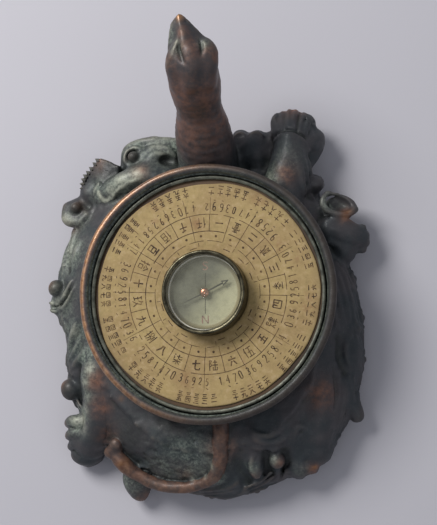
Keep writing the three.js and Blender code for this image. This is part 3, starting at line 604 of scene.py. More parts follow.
def bronze_material(name):
    """Old cast bronze: dark skin, brown where handled, green-grey in places, copper where worn through, with
    painted highlights on lit edges and painted shade in hollows
    """
    n = Nodes(name)
    wear_and_lit_side, hollow = n.attribute("wear_and_lit_side"), n.attribute("hollow")
    green, warm, polish = n.attribute("green"), n.attribute("warm"), n.attribute("polish")
    pale = n.attribute("pale")
    broad = n.noise(7, 4)
    patchy = n.noise(3.2, 5, 0.62)
    fine = n.noise(1.6, 5, 0.65)
    grain = n.noise(0.35, 3, 0.6)
    dark = n.mix(n.ramp(broad, 0.35, 0.65), "393f43", "4a484b")
    brown = n.mix(n.ramp(fine, 0.3, 0.7), "714f43", "9a6c56")
    brown_share = n.plus(n.times(warm, n.ramp(patchy, 0.34, 0.6, 0.45, 1.0)), n.times(wear_and_lit_side, 0.1), clamp=True)
    base = n.mix(brown_share, dark, brown)
    speckled = n.noise(0.8, 4, 0.7)
    patina = n.mix(n.ramp(speckled, 0.36, 0.66), "4f5b53", "9ca899")
    green_share = n.times(n.plus(n.times(green, 0.95), n.times(hollow, 0.2)),
                          n.ramp(patchy, 0.32, 0.62, 0.3, 1.0), clamp=True)
    base = n.mix(green_share, base, patina)
    # Raised edges rubbed pale; the share is cut down away from the lamp, so on the lit left this also paints
    # their sheen
    rubbed_and_lit_edges = n.times(wear_and_lit_side, n.plus(n.times(green, 0.6), 0.08))
    base = n.mix(rubbed_and_lit_edges, base, "aeb6a8")
    # Pale places: mostly painted highlights, partly the pale bronze of the left foreleg
    pale_and_highlight_share = n.times(pale, n.ramp(speckled, 0.3, 0.62, 0.35, 1.0))
    base = n.mix(pale_and_highlight_share, base, "b6b9a8")
    copper = n.mix(n.ramp(fine, 0.3, 0.7), "86502a", "bc8650")
    copper_share = n.plus(n.times(polish, n.ramp(n.noise(2.1, 4, 0.6), 0.3, 0.6, 0.55, 1.0)),
                          n.times(wear_and_lit_side, 0.05), clamp=True)
    base = n.mix(copper_share, base, copper)
    # Darker in hollows and at the dark places: dark patina, and painted shade
    dark_patina_and_shade = n.times(hollow, n.ramp(fine, 0.3, 0.6, 0.45, 0.8))
    base = n.mix(dark_patina_and_shade, base, "16191b")
    glints = n.ramp(n.cells(1.1), 0.0, 0.13, 1.0, 0.0)
    base = n.mix(n.times(glints, n.times(green, 0.75)), base, "c3cbbf")
    # Fine pale specks: painted sparkle
    painted_sparkle = n.ramp(n.noise(0.42, 2, 0.5), 0.58, 0.74)
    base = n.mix(n.times(painted_sparkle, n.plus(n.times(green, 0.4), 0.05)), base, "b2b8ac")
    rough = n.minus(n.ramp(fine, 0.25, 0.75, 0.46, 0.64), n.times(copper_share, 0.22))
    rough = n.minus(rough, n.times(glints, 0.1), clamp=True)
    metal = n.plus(0.34, n.times(copper_share, 0.3), clamp=True)
    relief = n.plus(n.times(grain, 0.35), n.times(fine, 0.8))
    relief = n.plus(relief, n.times(speckled, n.times(green, 0.9)))
    relief = n.plus(relief, n.times(glints, 0.35))
    return n.set(color=base, metallic=metal, roughness=rough, normal=n.bump(relief, 0.13, 0.5),
                 coat=n.plus(n.times(polish, 0.6), 0.08, clamp=True), coat_roughness=0.14)


def metal_material(name, light, dark, roughness, metallic=1.0):
    """Turned metal with tarnish and fine scratches"""
    n = Nodes(name)
    tarnish = n.ramp(n.noise(2.4, 5, 0.65), 0.3, 0.7)
    lines = n.noise(0.3, 2, 0.5, n.position((1, 1, 6)))
    color = n.mix(tarnish, dark, light)
    rough = n.ramp(lines, 0.2, 0.8, roughness - 0.08, roughness + 0.12)
    return n.set(color=color, metallic=metallic, roughness=rough, normal=n.bump(lines, 0.02, 0.5))


def paper_material():
    """Tanned paper with fibres, foxing and a soiled edge"""
    n = Nodes("old_paper")
    cloudy = n.noise(9, 4, 0.6)
    fibres = n.noise(0.5, 4, 0.7, n.position((1, 2.2, 1)))
    base = n.mix(n.ramp(cloudy, 0.3, 0.7), "a4895c", "b59d68")
    blotched = n.noise(1.5, 4, 0.65)
    base = n.mix(n.ramp(blotched, 0.5, 0.7, 0.0, 0.5), base, "c9b088")
    base = n.mix(n.ramp(blotched, 0.5, 0.3, 0.0, 0.5), base, "8d7a4e")
    base = n.mix(n.ramp(fibres, 0.35, 0.8, 0.0, 0.35), base, "c1ae7d")
    fox = n.times(n.attribute("stain"), n.ramp(n.noise(2.2, 5, 0.7), 0.38, 0.6), clamp=True)
    base = n.mix(n.times(fox, 0.6), base, "8a5f42")
    base = n.mix(n.ramp(n.noise(3.0, 5, 0.75), 0.62, 0.8, 0.0, 0.35), base, "94754a")
    base = n.mix(n.times(n.attribute("edge"), 0.3), base, "7a6a4c")
    return n.set(color=base, roughness=n.ramp(fibres, 0.2, 0.8, 0.62, 0.85), metallic=0.0,
                 normal=n.bump(fibres, 0.05, 0.5))


def ink_material():
    """Brown-black print that took unevenly and has faded"""
    n = Nodes("faded_ink")
    faded = n.ramp(n.noise(1.1, 4, 0.7), 0.38, 0.66)
    return n.set(color=n.mix(n.times(faded, 0.85), "33210f", "82663f"),
                 roughness=0.7, metallic=0.0)


def card_material():
    """Pale grey-green card with a faint mottling, with painted light and shade: darker on the left, paler to
    the lower right, and a painted wall and shade round its edge
    """
    n = Nodes("compass_card_paint")
    mottle = n.noise(2.4, 5, 0.65)
    base = n.mix(n.ramp(mottle, 0.35, 0.65), "484a3c", "626350")
    card_light_and_shade = n.times(n.attribute("card_light_and_shade"), n.ramp(mottle, 0.3, 0.6, 0.75, 1.0))
    base = n.mix(card_light_and_shade, base, "c9c7a0")
    painted_wall_and_shade = n.mix(n.attribute("card_light_and_shade"), "3a382c", "a39a74")
    base = n.mix(n.attribute("painted_wall_and_shade"), base, painted_wall_and_shade)
    return n.set(color=base, roughness=0.6, metallic=0.0, normal=n.bump(mottle, 0.03, 0.3))


def wood_material():
    """Dark wood with the rings of the tree"""
    n = Nodes("turned_wood")
    rings = n.add("ShaderNodeTexWave", wave_type="RINGS")
    for key, number in (("Scale", 0.22), ("Distortion", 3.0), ("Detail", 3.0)):
        rings.inputs[key].default_value = number
    n.plug(rings.inputs["Vector"], n.position((1, 0.25, 1)))
    color = n.mix(rings.outputs["Fac"], "3c2c1c", "5a4228")
    return n.set(color=color, roughness=0.6, metallic=0.0, normal=n.bump(rings.outputs["Fac"], 0.05, 0.3))


def cork_material():
    """Pressed grains with dark seams"""
    n = Nodes("sheet_cork")
    grains = n.cells(0.9)
    shade = n.cells(0.9, output="Color")
    base = n.mix(n.ramp(shade, 0.2, 0.9), "7a5534", "a67c50")
    base = n.mix(n.ramp(grains, 0.3, 0.6), base, "4a3018")
    return n.set(color=base, roughness=0.85, metallic=0.0, normal=n.bump(grains, 0.15, 0.6))


def glass_material():
    """Thin clear sheet with a faint haze"""
    n = Nodes("watch_glass")
    haze = n.ramp(n.noise(6, 3), 0.3, 0.8, 0.01, 0.06)
    return n.set(roughness=0.04, metallic=0.0, ior=1.45, alpha=n.plus(haze, 0.05),
                 color=(0.7, 0.7, 0.55, 1))


def red_paint_material():
    """Red that has faded towards the card's colour"""
    n = Nodes("faded_red_paint")
    return n.set(color=n.mix(n.ramp(n.noise(0.6, 3), 0.35, 0.7), "8f5f52", "a08c78"),
                 roughness=0.7, metallic=0.0)


bronze = bronze_material("cast_bronze")
brass = metal_material("dull_brass", "a8925c", "6e5c38", 0.42)
nickel = metal_material("old_nickel", "716c58", "3c392e", 0.32)
pewter = metal_material("grey_green_ring", "6c6e62", "3c3e37", 0.4, metallic=0.45)
steel = metal_material("browned_steel", "3c3c36", "24251f", 0.4)
black_steel = metal_material("blackened_steel", "34342e", "20211c", 0.5, metallic=0.4)
hub_copper = metal_material("hub_copper", "d39b80", "9a6048", 0.26)
paper = paper_material()
ink = ink_material()
card_paint = card_material()
wood = wood_material()
cork = cork_material()
glass = glass_material()
red_paint = red_paint_material()


# Body: shell, skirt of waves, and the hollow below

castings = {name: Clay() for name in (
    "body_casting", "neck_and_head", "front_right_leg", "front_left_leg", "rear_left_leg", "rear_right_leg",
    "curled_tail",
)}
body, neck, front_right, front_left, rear_left, rear_right, tail = castings.values()

column_x, column_y = np.meshgrid(AXES[0], AXES[1], indexing="ij")
column_inset = inset_of(column_x, column_y)
body.values = section_field([*section, (PAST_CENTRE, UNDERSIDE)], flank_inset(column_x, column_y))

WAVE_STROKES = [  # x, y, z and radius, as in every path of a stroke
    [(-25.4, 37.6, 9.4, 1.4), (-25.3, 40.2, 10, 1.35), (-23.5, 42.2, 10.6, 1.3), (-19.4, 43.1, 11, 1.3),
     (-15, 43.2, 11, 1.3), (-11.2, 42.7, 10.6, 1.4)],
    [(-19.2, 39.8, 12.4, 0.8), (-16.4, 41.2, 12.4, 0.85), (-13.4, 40.8, 12.2, 0.85),
     (-11.4, 38.9, 11.8, 0.8)],
    [(-18, 37.8, 13, 0.7), (-16.4, 39.2, 13.1, 0.75), (-14.2, 39, 12.8, 0.75), (-12.9, 37.6, 12.6, 0.7)],
    [(-17, 42.2, 11.6, 0.6), (-13.6, 42.2, 11.6, 0.6), (-10.8, 41, 11.2, 0.6)],
    [(31, 17.4, 9.4, 4.1), (35.2, 16.2, 8.6, 3.9), (38.2, 15.6, 7.4, 2.8)],
    [(30.4, 19.6, 12, 1.1), (33.2, 20, 11.6, 1.1), (36, 19.2, 10.6, 1.1), (38.8, 17.6, 9, 0.9)],
    [(30.8, 14.4, 11.8, 1), (34, 13, 10.6, 1), (37, 12.6, 8.8, 0.9)],
    [(32, 17.2, 12.6, 0.7), (35, 16.6, 11.8, 0.7), (38, 15.4, 10, 0.6)],
    [(-22.8, -45.5, 6, 3.6), (-22.7, -48.6, 5.4, 4), (-22.4, -51.5, 4.4, 2.9), (-22.2, -53, 3.4, 1.7)],
    [(-2.9, -50.2, 5, 2.5), (1.2, -51.4, 4.8, 2.5), (6, -50.2, 4.8, 2.3)],
    [(-6, -48.6, 8.4, 1.2), (-1, -49.8, 8, 1.4), (4.4, -49, 8.2, 1.3), (8, -46.6, 9, 1)],
    [(6.8, 36, 8, 3), (6.5, 43.4, 8, 2.7)],
    [(11, 36, 8, 3.2), (11, 42.8, 8.4, 2.9)],
    [(13.6, 36, 7.6, 2.6), (14, 42, 7.8, 2.4)],
    [(35, -28, 6, 3.2), (37, -31.4, 5.8, 2.1)],
    [(-33.6, -17.4, 13, 0.8), (-35.6, -20.6, 12.4, 0.9), (-35.6, -25, 11.8, 0.9), (-36.2, -30, 10.6, 0.9)],
    [(-42.3, 26, 8.8, 1.3), (-42.4, 23.2, 9.2, 1.4), (-40.8, 21.6, 9.6, 1.5), (-38, 21.6, 10.2, 1.4),
     (-36, 23.4, 10.6, 1.2)],
    [(30.6, 27.2, 11.8, 0.75), (29.6, 26, 12.6, 0.9), (29.4, 24.2, 13, 1), (30.3, 22.6, 12.8, 1),
     (32.2, 21.7, 12.4, 0.95), (34.6, 21.5, 12, 0.95), (36.6, 21.9, 11.4, 0.9), (37.7, 22.9, 10.8, 0.75)],
    [(30.6, 27.2, 11.6, 0.75), (32.6, 26.9, 11.1, 0.6), (35, 25.8, 10.5, 0.6), (36.9, 24.4, 10.2, 0.6),
     (37.7, 22.9, 10.6, 0.75)],
]
WAVE_MASSES = [  # x, y, z and three radii
    (-18, 36.8, 8.2, 8.4, 6, 6),
    (-35.4, 29.5, 7, 3.6, 3.5, 4.2),
    (-39.2, 24.8, 7, 3.9, 4, 4.2),
    (-43, 1.2, 6, 3.8, 5.6, 4.8),
    (-43.8, -1.2, 7, 3.5, 2.9, 2.4),
    (33.2, 23.8, 8, 4.6, 3.2, 3.8),
    (34, 11.8, 7, 3.4, 3.2, 4.4),
    (14.6, 40.6, 7.4, 2.6, 4.4, 3.8),
    (14.9, -45.8, 5.4, 3.2, 2.8, 3.2),
    (36.1, -15.2, 7.4, 2.7, 5.4, 3.7),
    (-31, 33.6, 8, 4.4, 3.4, 4),
    (-9.6, 41.4, 7.6, 3.2, 2.6, 3.8),
    (9.4, 39.6, 8.2, 5.6, 4.6, 4.6),
]
WAVE_BALLS = [  # x, y, z and radius
    (-22.3, 38.6, 13.6, 1.5), (-39, 25.4, 11.2, 1.6), (-44.7, 3.4, 9.9, 2.4), (-40.4, -24.2, 8.7, 3.15),
    (37.7, -8.9, 8.5, 1.1), (36.6, -24, 6.6, 1.2), (37, -26.2, 6, 1),
]
WAVE_CURLS = [  # x, y, z, radius across, tube, and the angles of the two ends
    (-22.3, 38.6, 12.4, 2.7, 0.6, 60, 330),
    (11, 42.8, 11, 1.8, 0.5, -60, 200),
    (6.6, 43.2, 10.6, 1.5, 0.45, -40, 210),
]
KNUCKLES = [(39.2, 18.2, 7.9), (39.9, 16.3, 7.6), (40, 14.4, 7.3), (39, 12.6, 7)]
VALLEYS = [  # carved along the left hind leg, and between the curl and the ridges of the left flank
    [(-36.9, -18.6, 13, 1), (-37.2, -22, 12.6, 1.5), (-37, -26, 11.6, 1.6), (-38.6, -29.4, 9.6, 1.3)],
    [(-37.4, 19.6, 13.4, 0.9), (-39.6, 19.4, 11.6, 1), (-41.8, 18.9, 9.8, 1)],
    [(-41.2, 16.5, 11.6, 1), (-41.8, 12, 11.4, 1.2), (-41.2, 8, 11.6, 1)],
]

body.strokes(WAVE_STROKES)
for place in WAVE_MASSES:
    body.mass(place, blend=1.6)
body.strokes(VALLEYS, 1, carve=True)
for place in WAVE_CURLS:
    body.ring(place)
for place in WAVE_BALLS:
    body.ball(place)
for x, y, z in KNUCKLES:
    body.stroke([(x - 2.6, y - 0.2, z + 0.6, 1), (x, y, z, 1.2)])

# Hollows inside the curl at the right foreleg, and between the waves left of the neck
body.mass((33.6, 24.5, 12.6, 3.6, 2.1, 3), turn=-24, carve=True, blend=0.5)
body.mass((-13, 37.2, 13.6, 2.2, 1.6, 2.2), carve=True, blend=0.8)


def lying(path, lift, foot=0.0):
    """Points of x, y and radius, laid on the shell's upper side, lifted off it, and never below the foot"""
    return [(x, y, max(on_top(x, y) + lift, foot), radius) for x, y, radius in path]


# Two lips that lie round the ball on the left flank, and the groove between them
BALL_LIPS = [
    [(-39.6, 5, 0.5), (-40.1, 3.8, 0.8), (-40.8, 2.4, 0.95), (-42, 0.8, 1), (-43.8, -0.5, 1),
     (-45.6, -0.9, 0.9), (-46.7, -0.5, 0.6)],
    [(-38.8, 3.8, 0.4), (-39.2, 2.4, 0.65), (-40.3, 0.3, 0.75), (-42, -1.5, 0.8), (-44.1, -2.5, 0.8),
     (-45.9, -2.8, 0.7), (-46.8, -2.5, 0.5)],
]
LIP_GROOVE = [
    (-38.9, 4.4, 0.3), (-39.7, 2.9, 0.45), (-40.8, 0.9, 0.5), (-42.4, -0.7, 0.5), (-44.2, -1.6, 0.5),
    (-46, -1.9, 0.4),
]
LIP_FOOT = 8.8
GROOVE_LIFT = 0.4
body.strokes([lying(path, 0.2, LIP_FOOT) for path in BALL_LIPS], 0.4)
body.stroke(lying(LIP_GROOVE, GROOVE_LIFT, LIP_FOOT + GROOVE_LIFT), blend=0.4, carve=True)

# Ridges that lie on the top of the skirt and sink in at both ends, and valleys between them
TOP_RIDGES = [
    [(-40.3, 18.8, 0.7), (-42.4, 15.4, 0.8), (-43.4, 11.4, 0.8), (-43.4, 7.6, 0.6)],
    [(-36.8, 17.4, 0.6), (-38.6, 13, 0.8), (-39.2, 9.4, 0.6)],
    [(-36.9, -4.4, 0.9), (-38.6, -8.2, 1.2), (-40, -11.2, 1.2), (-41.2, -14.2, 0.9)],
    [(-35.8, -9.2, 0.8), (-37.4, -12, 1.1), (-39.2, -14.8, 1.1), (-41, -17, 0.8)],
    [(-34.6, -12.4, 0.7), (-36.2, -14.8, 0.9), (-38.4, -17.2, 0.9), (-40.4, -19.4, 0.7)],
    [(33.4, 7.6, 0.8), (35, 2.8, 0.9), (36.2, -2.4, 0.9), (37.2, -8, 0.8)],
    [(32, 8.2, 0.8), (33.6, 2.6, 0.9), (34.9, -2.8, 0.9), (36, -8.4, 0.8)],
    [(31, 6.4, 0.7), (32.4, 1, 0.8), (33.6, -4, 0.8), (34.7, -9, 0.7)],
    [(30.6, 2.6, 0.6), (31.5, -2.4, 0.7), (32.4, -7, 0.7), (33.3, -11.4, 0.6)],
    [(35.4, -10.4, 0.6), (34.7, -13.9, 0.8), (35.1, -17.2, 0.8), (36.7, -20.4, 0.7)],
    [(37.9, -11.6, 0.5), (38, -15.8, 0.6), (37.4, -19.6, 0.5)],
    [(32.4, -12, 0.6), (32.4, -15.6, 0.7), (32.9, -19.2, 0.7)],
    [(32.5, -19.6, 0.8), (32.8, -24.4, 0.9), (32.3, -29, 0.9), (30.8, -32.8, 0.9), (28, -33.8, 0.8)],
    [(33.9, -20.4, 0.8), (34.4, -24.6, 0.9), (34, -28.8, 0.9), (32.4, -33, 0.9), (29.6, -35.4, 0.8)],
    [(35.6, -22, 0.7), (35.9, -25.6, 0.8), (35.2, -29.4, 0.8), (33.6, -33, 0.7)],
    [(9.8, -34.4, 0.8), (11.6, -36.2, 0.9), (14.6, -36.9, 0.9), (17.6, -35.8, 0.9), (19.4, -34, 0.8)],
    [(9.8, -36.4, 0.8), (12.2, -38, 0.9), (15.3, -38.7, 0.9), (18.3, -37.8, 0.9), (20.2, -35.8, 0.8)],
    [(9.3, -38.2, 0.8), (11.7, -39.8, 0.9), (15.4, -40.4, 0.8), (18.8, -39.6, 0.7)],
    [(21, -39.8, 0.7), (21.6, -36.4, 0.9), (23.1, -34.2, 1), (24.7, -35.9, 0.9), (25, -39.8, 0.7)],
    [(22.5, -40, 0.5), (22.7, -37.8, 0.6), (23.2, -36.6, 0.6), (23.8, -37.8, 0.5)],
    [(-2.6, -50, 0.8), (1.4, -48.4, 0.9), (4.4, -45.6, 0.8)],
    [(0, -51, 0.7), (4, -50, 0.8), (7, -47.6, 0.8)],
    [(-16.6, 33.4, 0.8), (-12, 35, 0.9), (-8.6, 34.6, 0.8)],
]
RIDGE_SUNK = 0.15
for path in TOP_RIDGES:
    points = lying(path, -RIDGE_SUNK)
    for end in (0, -1):
        x, y, z, radius = points[end]
        points[end] = (x, y, z - 0.5 * radius, 0.5 * radius)
    body.stroke(points, blend=0.9)
TOP_VALLEYS = [
    [(19, -41, 0.9), (19.4, -43.6, 1.3), (18.8, -46.6, 1.5), (18.3, -48.6, 1.2)],
    [(7.6, -41, 0.8), (6.8, -43.8, 1.4), (7.4, -47, 1.4), (8.8, -49.4, 1)],
    [(14, -41.4, 0.8), (14.1, -44.2, 1.2), (14.4, -47.6, 1.4)],
    [(33.2, -11, 0.6), (33.3, -16, 0.8), (34.4, -20.4, 0.7)],
    [(31.6, -19.4, 0.5), (31.8, -24.4, 0.6), (31.4, -28.8, 0.6), (29.8, -32, 0.5)],
]
body.strokes([lying(path, 0.3) for path in TOP_VALLEYS], 1.6, carve=True)

# Soft fill on the back, and a wave with two balls on the rear
body.mass((-6.5, -35.5, 10.5, 20, 9, 6.9), blend=2.4)
body.mass((11, -44.3, 12.5, 1.9, 3.8, 2.1), turn=8, blend=1.2)
body.stroke([
    (10.9, -41.4, 14.6, 0.4), (10.2, -43.4, 14.6, 0.6), (10.1, -45.8, 13.2, 0.6), (10.6, -47.8, 11.4, 0.4),
], blend=0.8)
body.ball((16.6, -43.3, 12.2, 2.2), blend=0.3)
body.ball((22.4, -45.2, 8.2, 2.4), blend=1)

# Rolling waves round the wall of the skirt: curls with sweeps of ridges between them
WALL_START = 52  # degrees about the shell's centre
WALL_CURLS = 23
WALL_STEP = 15.5
WALL_CLIMB = 4.9
CURL_RADIUS = 2.8
CURL_TUBE = 0.85
CURL_START = 200
CURL_TURNS = 1.35
CURL_STEPS = 12
CURL_CLOSING = 0.66  # share of the radius that is gone at the middle
LOWEST_CLIMB = 1.2
LOWEST_SWEEP = 0.9
MM_PER_DEGREE = 0.75
LONG_SWEEP = [(3.4, 2.2), (7, 3.4), (10.5, 5.6), (13, 8.4)]  # degrees past the curl, and climb
HIGH_SWEEP = [(-2, 8.9), (3, 9.6), (8, 10.8)]


def wall_curl(angle, climb, radius):
    """A curl that lies on the wall and winds in to a ball"""
    path = []
    for step in range(CURL_STEPS + 1):
        t = step / CURL_STEPS
        turn = math.radians(CURL_START + 360 * CURL_TURNS * t)
        reach = radius * (1 - CURL_CLOSING * t)
        place = on_flank(angle + reach * math.cos(turn) / MM_PER_DEGREE,
                         max(climb + reach * math.sin(turn), LOWEST_CLIMB), 0.25)
        path.append((*place, CURL_TUBE * (1 - 0.25 * t)))
    body.stroke(path, blend=0.4, steps=2)
    body.ball((*on_flank(angle, climb, 0.35), CURL_TUBE * 1.25))


def sweep(start, path, count, spacing, tube):
    """Ridges side by side, thinner towards the outer ones"""
    for line in range(count):
        beside = line - (count - 1) / 2
        radius = tube * (1 - 0.25 * abs(beside) / count)
        body.stroke([(*on_flank(start + angle, max(climb + beside * spacing, LOWEST_SWEEP), 0.1), radius)
                     for angle, climb in path], blend=0.4, steps=3)


dice = random.Random(11)
for curl in range(WALL_CURLS):
    angle = WALL_START + WALL_STEP * curl
    wall_curl(angle, WALL_CLIMB + dice.uniform(-0.3, 0.3), CURL_RADIUS + dice.uniform(-0.2, 0.2))
    sweep(angle, LONG_SWEEP, count=3, spacing=1.5, tube=0.68)
    sweep(angle, HIGH_SWEEP, count=2, spacing=1.6, tube=0.55)

# Neck and head
NECK_PATH = [
    (-1.7, 31, 9.5, 7), (-1.6, 37.5, 14.5, 7.9), (-1.4, 43, 21.2, 7.4), (-1, 48.3, 28.5, 5.9),
    (-0.8, 53, 35, 6.7), (-0.5, 57, 39.8, 6.1),
]
neck.stroke(NECK_PATH, blend=1.6, steps=6)
neck.mass((-0.2, 58.6, 41, 6, 5.2, 5), blend=2.2)
neck.wedge([
    (-2.9, 69, 45.9), (-2.1, 69, 45.2), (-5.6, 66.9, 43.9), (-6.5, 61, 42.6), (-6.6, 56.5, 41.4),
    (-4.6, 66, 42), (-5.1, 60, 39.4), (1, 65.9, 43.8), (4.5, 62.3, 42.8), (0.7, 65.3, 42),
    (3.8, 61.2, 40.4), (-1.2, 61.4, 38.4), (-2.2, 65.2, 46.5), (-1.3, 62, 46.4), (-0.6, 57, 45),
    (4.4, 57, 42.6), (-0.4, 57, 37.4),
], blend=1.2, rounding=0.3)
BROWS = [
    [(-4.2, 52.4, 39.8, 1.8), (-4.8, 56, 42.8, 1.7), (-4, 59.2, 44.4, 1.1), (-2.7, 61.6, 45.6, 0.5)],
    [(-0.2, 52, 41.6, 2.2), (0.2, 56.4, 44.2, 2), (-0.4, 60, 45.4, 1.3), (-1.5, 63.6, 46.2, 0.5)],
    [(3.6, 52.6, 39.8, 2.1), (4.5, 57, 42.6, 2.1), (4.9, 59.9, 43, 1.5), (4.2, 61.4, 43.2, 0.8)],
]
neck.strokes(BROWS, 1.8)
BROW_GROOVES = [  # x, y, radius and how deep, from the beak back
    [(-2.6, 62, 0.25, 0.1), (-2.7, 59.8, 0.6, 0.7), (-2.2, 57.7, 0.75, 0.8), (-1.5, 56.2, 0.55, 0.5),
     (-0.7, 55.2, 0.3, 0.1)],
    [(2.1, 62.4, 0.25, 0.1), (2.9, 60.7, 0.55, 0.5), (3.2, 58.9, 0.55, 0.5), (3.1, 57.2, 0.3, 0.1)],
]
BROW_EDGES = [  # x, y and radius
    [(-2.8, 62, 0.3), (-3.5, 60.2, 0.45), (-4.3, 58.5, 0.5), (-5.1, 57, 0.5), (-5.8, 56, 0.4)],
    [(3.2, 61.9, 0.3), (4, 60.3, 0.4), (4.2, 58.6, 0.35)],
]
grooves = [[(x, y, top_of(neck, x, y) + radius - depth, radius) for x, y, radius, depth in path]
           for path in BROW_GROOVES]
brow_edges = [[(x, y, top_of(neck, x, y) - 0.15, radius) for x, y, radius in path] for path in BROW_EDGES]
neck.strokes(grooves, 0.3, carve=True)
neck.strokes(brow_edges, 0.3)
EYES = [(-5.4, 59.6), (4.2, 60.2)]
EYE_LEVEL = 40.9
for x, y in EYES:
    neck.ball((x * 1.12, y, EYE_LEVEL, 1.2), carve=True, blend=0.4)
    neck.ball((x, y, EYE_LEVEL, 1.05), blend=0.1)
MOUTH = [
    (-6, 57, 38.8, 0.35), (-5.5, 61, 40.4, 0.4), (-4.5, 65, 42.2, 0.35), (-2.2, 67.8, 44.2, 0.3),
    (0.4, 65, 42.2, 0.35), (3.4, 61.4, 40.5, 0.4), (4.8, 57.4, 38.8, 0.35),
]
neck.stroke(MOUTH, carve=True, blend=0.4)
for x in (-3.4, -1):  # nostrils
    neck.ball((x, 66.7, 45, 0.3), carve=True, blend=0.3)

# Soft wrinkles round the neck
WRINKLE_HEIGHT = 0.06
WRINKLE_SPACING = 2.5
grid_x, grid_y, grid_z = np.ix_(*AXES)
along_neck = grid_y * 0.6 + grid_z * 0.8
wrinkle_share = np.clip((along_neck - 36) / 6, 0, 1) * np.clip((58 - along_neck) / 8, 0, 1)
wrinkle_turn = 2 * np.pi * (along_neck + 0.18 * grid_x + 1.1 * noise_field(7, 9)) / WRINKLE_SPACING
neck.values += WRINKLE_HEIGHT * np.sin(wrinkle_turn) * wrinkle_share

# Right foreleg: limb, raised paw, toes with creases between them, the paw's edge, and locks along the limb
FRONT_RIGHT_LIMB = [
    (18.6, 25, 10.5, 5.6), (19.3, 31.5, 12, 5.4), (20.4, 37.5, 12.4, 4.7), (21, 42, 12, 4.4),
]
front_right.stroke(FRONT_RIGHT_LIMB, blend=1)
front_right.wedge([
    (16.4, 42.6, 12.4), (20, 41.6, 14.6), (24.6, 40, 13.2), (15.9, 47.6, 11), (17.7, 49.6, 10.6),
    (21.4, 50, 10.8), (24.5, 49.2, 10.4), (26.6, 46.8, 9.8), (28, 44, 9.2), (29.3, 42.6, 8.2),
    (29.2, 41.5, 7.4), (28, 39.3, 7.4), (25.8, 37.2, 8.2), (15.2, 44.8, 6.8), (17.4, 49, 6.4),
    (24.2, 48.6, 6.2), (27.4, 44.4, 6), (28.6, 41.8, 6), (25.6, 38, 6),
], blend=1.6, rounding=0.9)
FRONT_RIGHT_TOES = [
    [(17.8, 44.4, 11.6, 2.1), (17.5, 47.2, 10.6, 2.3), (17.4, 48.2, 8.4, 2), (17.3, 48.6, 6.4, 1.4)],
    [(20.9, 44.6, 12.2, 2.3), (20.9, 47.8, 11, 2.6), (20.9, 48.4, 8.6, 2.3), (20.9, 48.7, 6.2, 1.6)],
    [(24.1, 43.6, 11.8, 2.1), (24.5, 46.6, 10.4, 2.4), (24.8, 47.2, 8, 2.1), (24.9, 47.5, 6, 1.4)],
    [(26, 41, 10.6, 2), (27.3, 42.7, 8.9, 2), (27.7, 43.2, 7.2, 1.6), (27.8, 43.4, 5.6, 1)],
]
front_right.strokes(FRONT_RIGHT_TOES, 1.8)
FRONT_RIGHT_CREASES = [
    [(19.2, 50.9, 9.6, 0.35), (19.2, 48.4, 12.7, 0.4), (19.4, 45.6, 14.3, 0.35), (19.7, 43.6, 15.2, 0.25)],
    [(23, 50.3, 9.4, 0.35), (23, 47.8, 12.4, 0.4), (22.9, 44.8, 14.2, 0.35), (22.9, 43, 15, 0.25)],
    [(26.6, 47.6, 8.6, 0.3), (26.2, 45.4, 11.5, 0.35), (25.6, 42.8, 13.1, 0.3), (25, 41, 13.9, 0.25)],
    [(21.1, 51.2, 9.6, 0.2), (21.1, 48.6, 13.1, 0.25), (21.2, 45.6, 14.9, 0.2)],
    [(17.4, 50.4, 9.4, 0.2), (17.3, 47.8, 12.4, 0.25), (17.7, 45.2, 13.9, 0.2)],
    [(24.9, 49.2, 9.2, 0.2), (24.6, 46.6, 12.6, 0.25), (24.3, 44, 14, 0.2)],
]
CREASE_LIFT = 0.3
front_right.strokes([[(x, y, z + CREASE_LIFT, radius) for x, y, z, radius in path]
                     for path in FRONT_RIGHT_CREASES], 0.8, carve=True)
PAW_GROOVE = [
    (16.6, 42.4, 13.6, 0.4), (18.4, 43.5, 15, 0.5), (20.7, 43.8, 15.6, 0.55), (22.8, 43.2, 15.2, 0.5),
    (24.6, 41.9, 14, 0.45),
]
front_right.stroke(PAW_GROOVE, blend=0.5, carve=True)
PAW_EDGE = [
    (16.4, 41.2, 12.9, 0.6), (18.2, 42.3, 14.7, 0.7), (20.7, 42.6, 15.6, 0.75), (22.8, 41.9, 15.2, 0.7),
    (24.4, 40.7, 14, 0.65), (25.3, 39, 12.4, 0.5),
]
front_right.stroke(PAW_EDGE, blend=0.6)
FRONT_RIGHT_LOCKS = [
    [(22.2, 38.2, 15.8, 0.5), (23.4, 34.8, 16, 0.7), (24.2, 30.8, 14.8, 0.7), (24.6, 27.2, 13, 0.5)],
    [(23.6, 38.6, 14.8, 0.5), (24.6, 35.4, 14.8, 0.7), (25.2, 31.8, 13.4, 0.7), (25.4, 28.6, 11.6, 0.5)],
    [(24.8, 38, 13.2, 0.5), (25.6, 35, 13, 0.7), (26, 32, 11.6, 0.7), (26.2, 29.8, 9.8, 0.5)],
]
LOCK_SUNK = 0.35
front_right.strokes([[(x, y, z - LOCK_SUNK, radius * 0.9) for x, y, z, radius in path]
                     for path in FRONT_RIGHT_LOCKS], 1)
front_right.mass((26.6, 30.4, 8.6, 2.7, 2.4, 2.8), blend=1.2)
UNDERARM = [(26.6, 40, 7.6, 2.2), (24.9, 37.4, 7.8, 2.2), (23.6, 34.8, 8.4, 2.2), (23, 31, 9, 2.4)]
front_right.stroke(UNDERARM, blend=1.8)

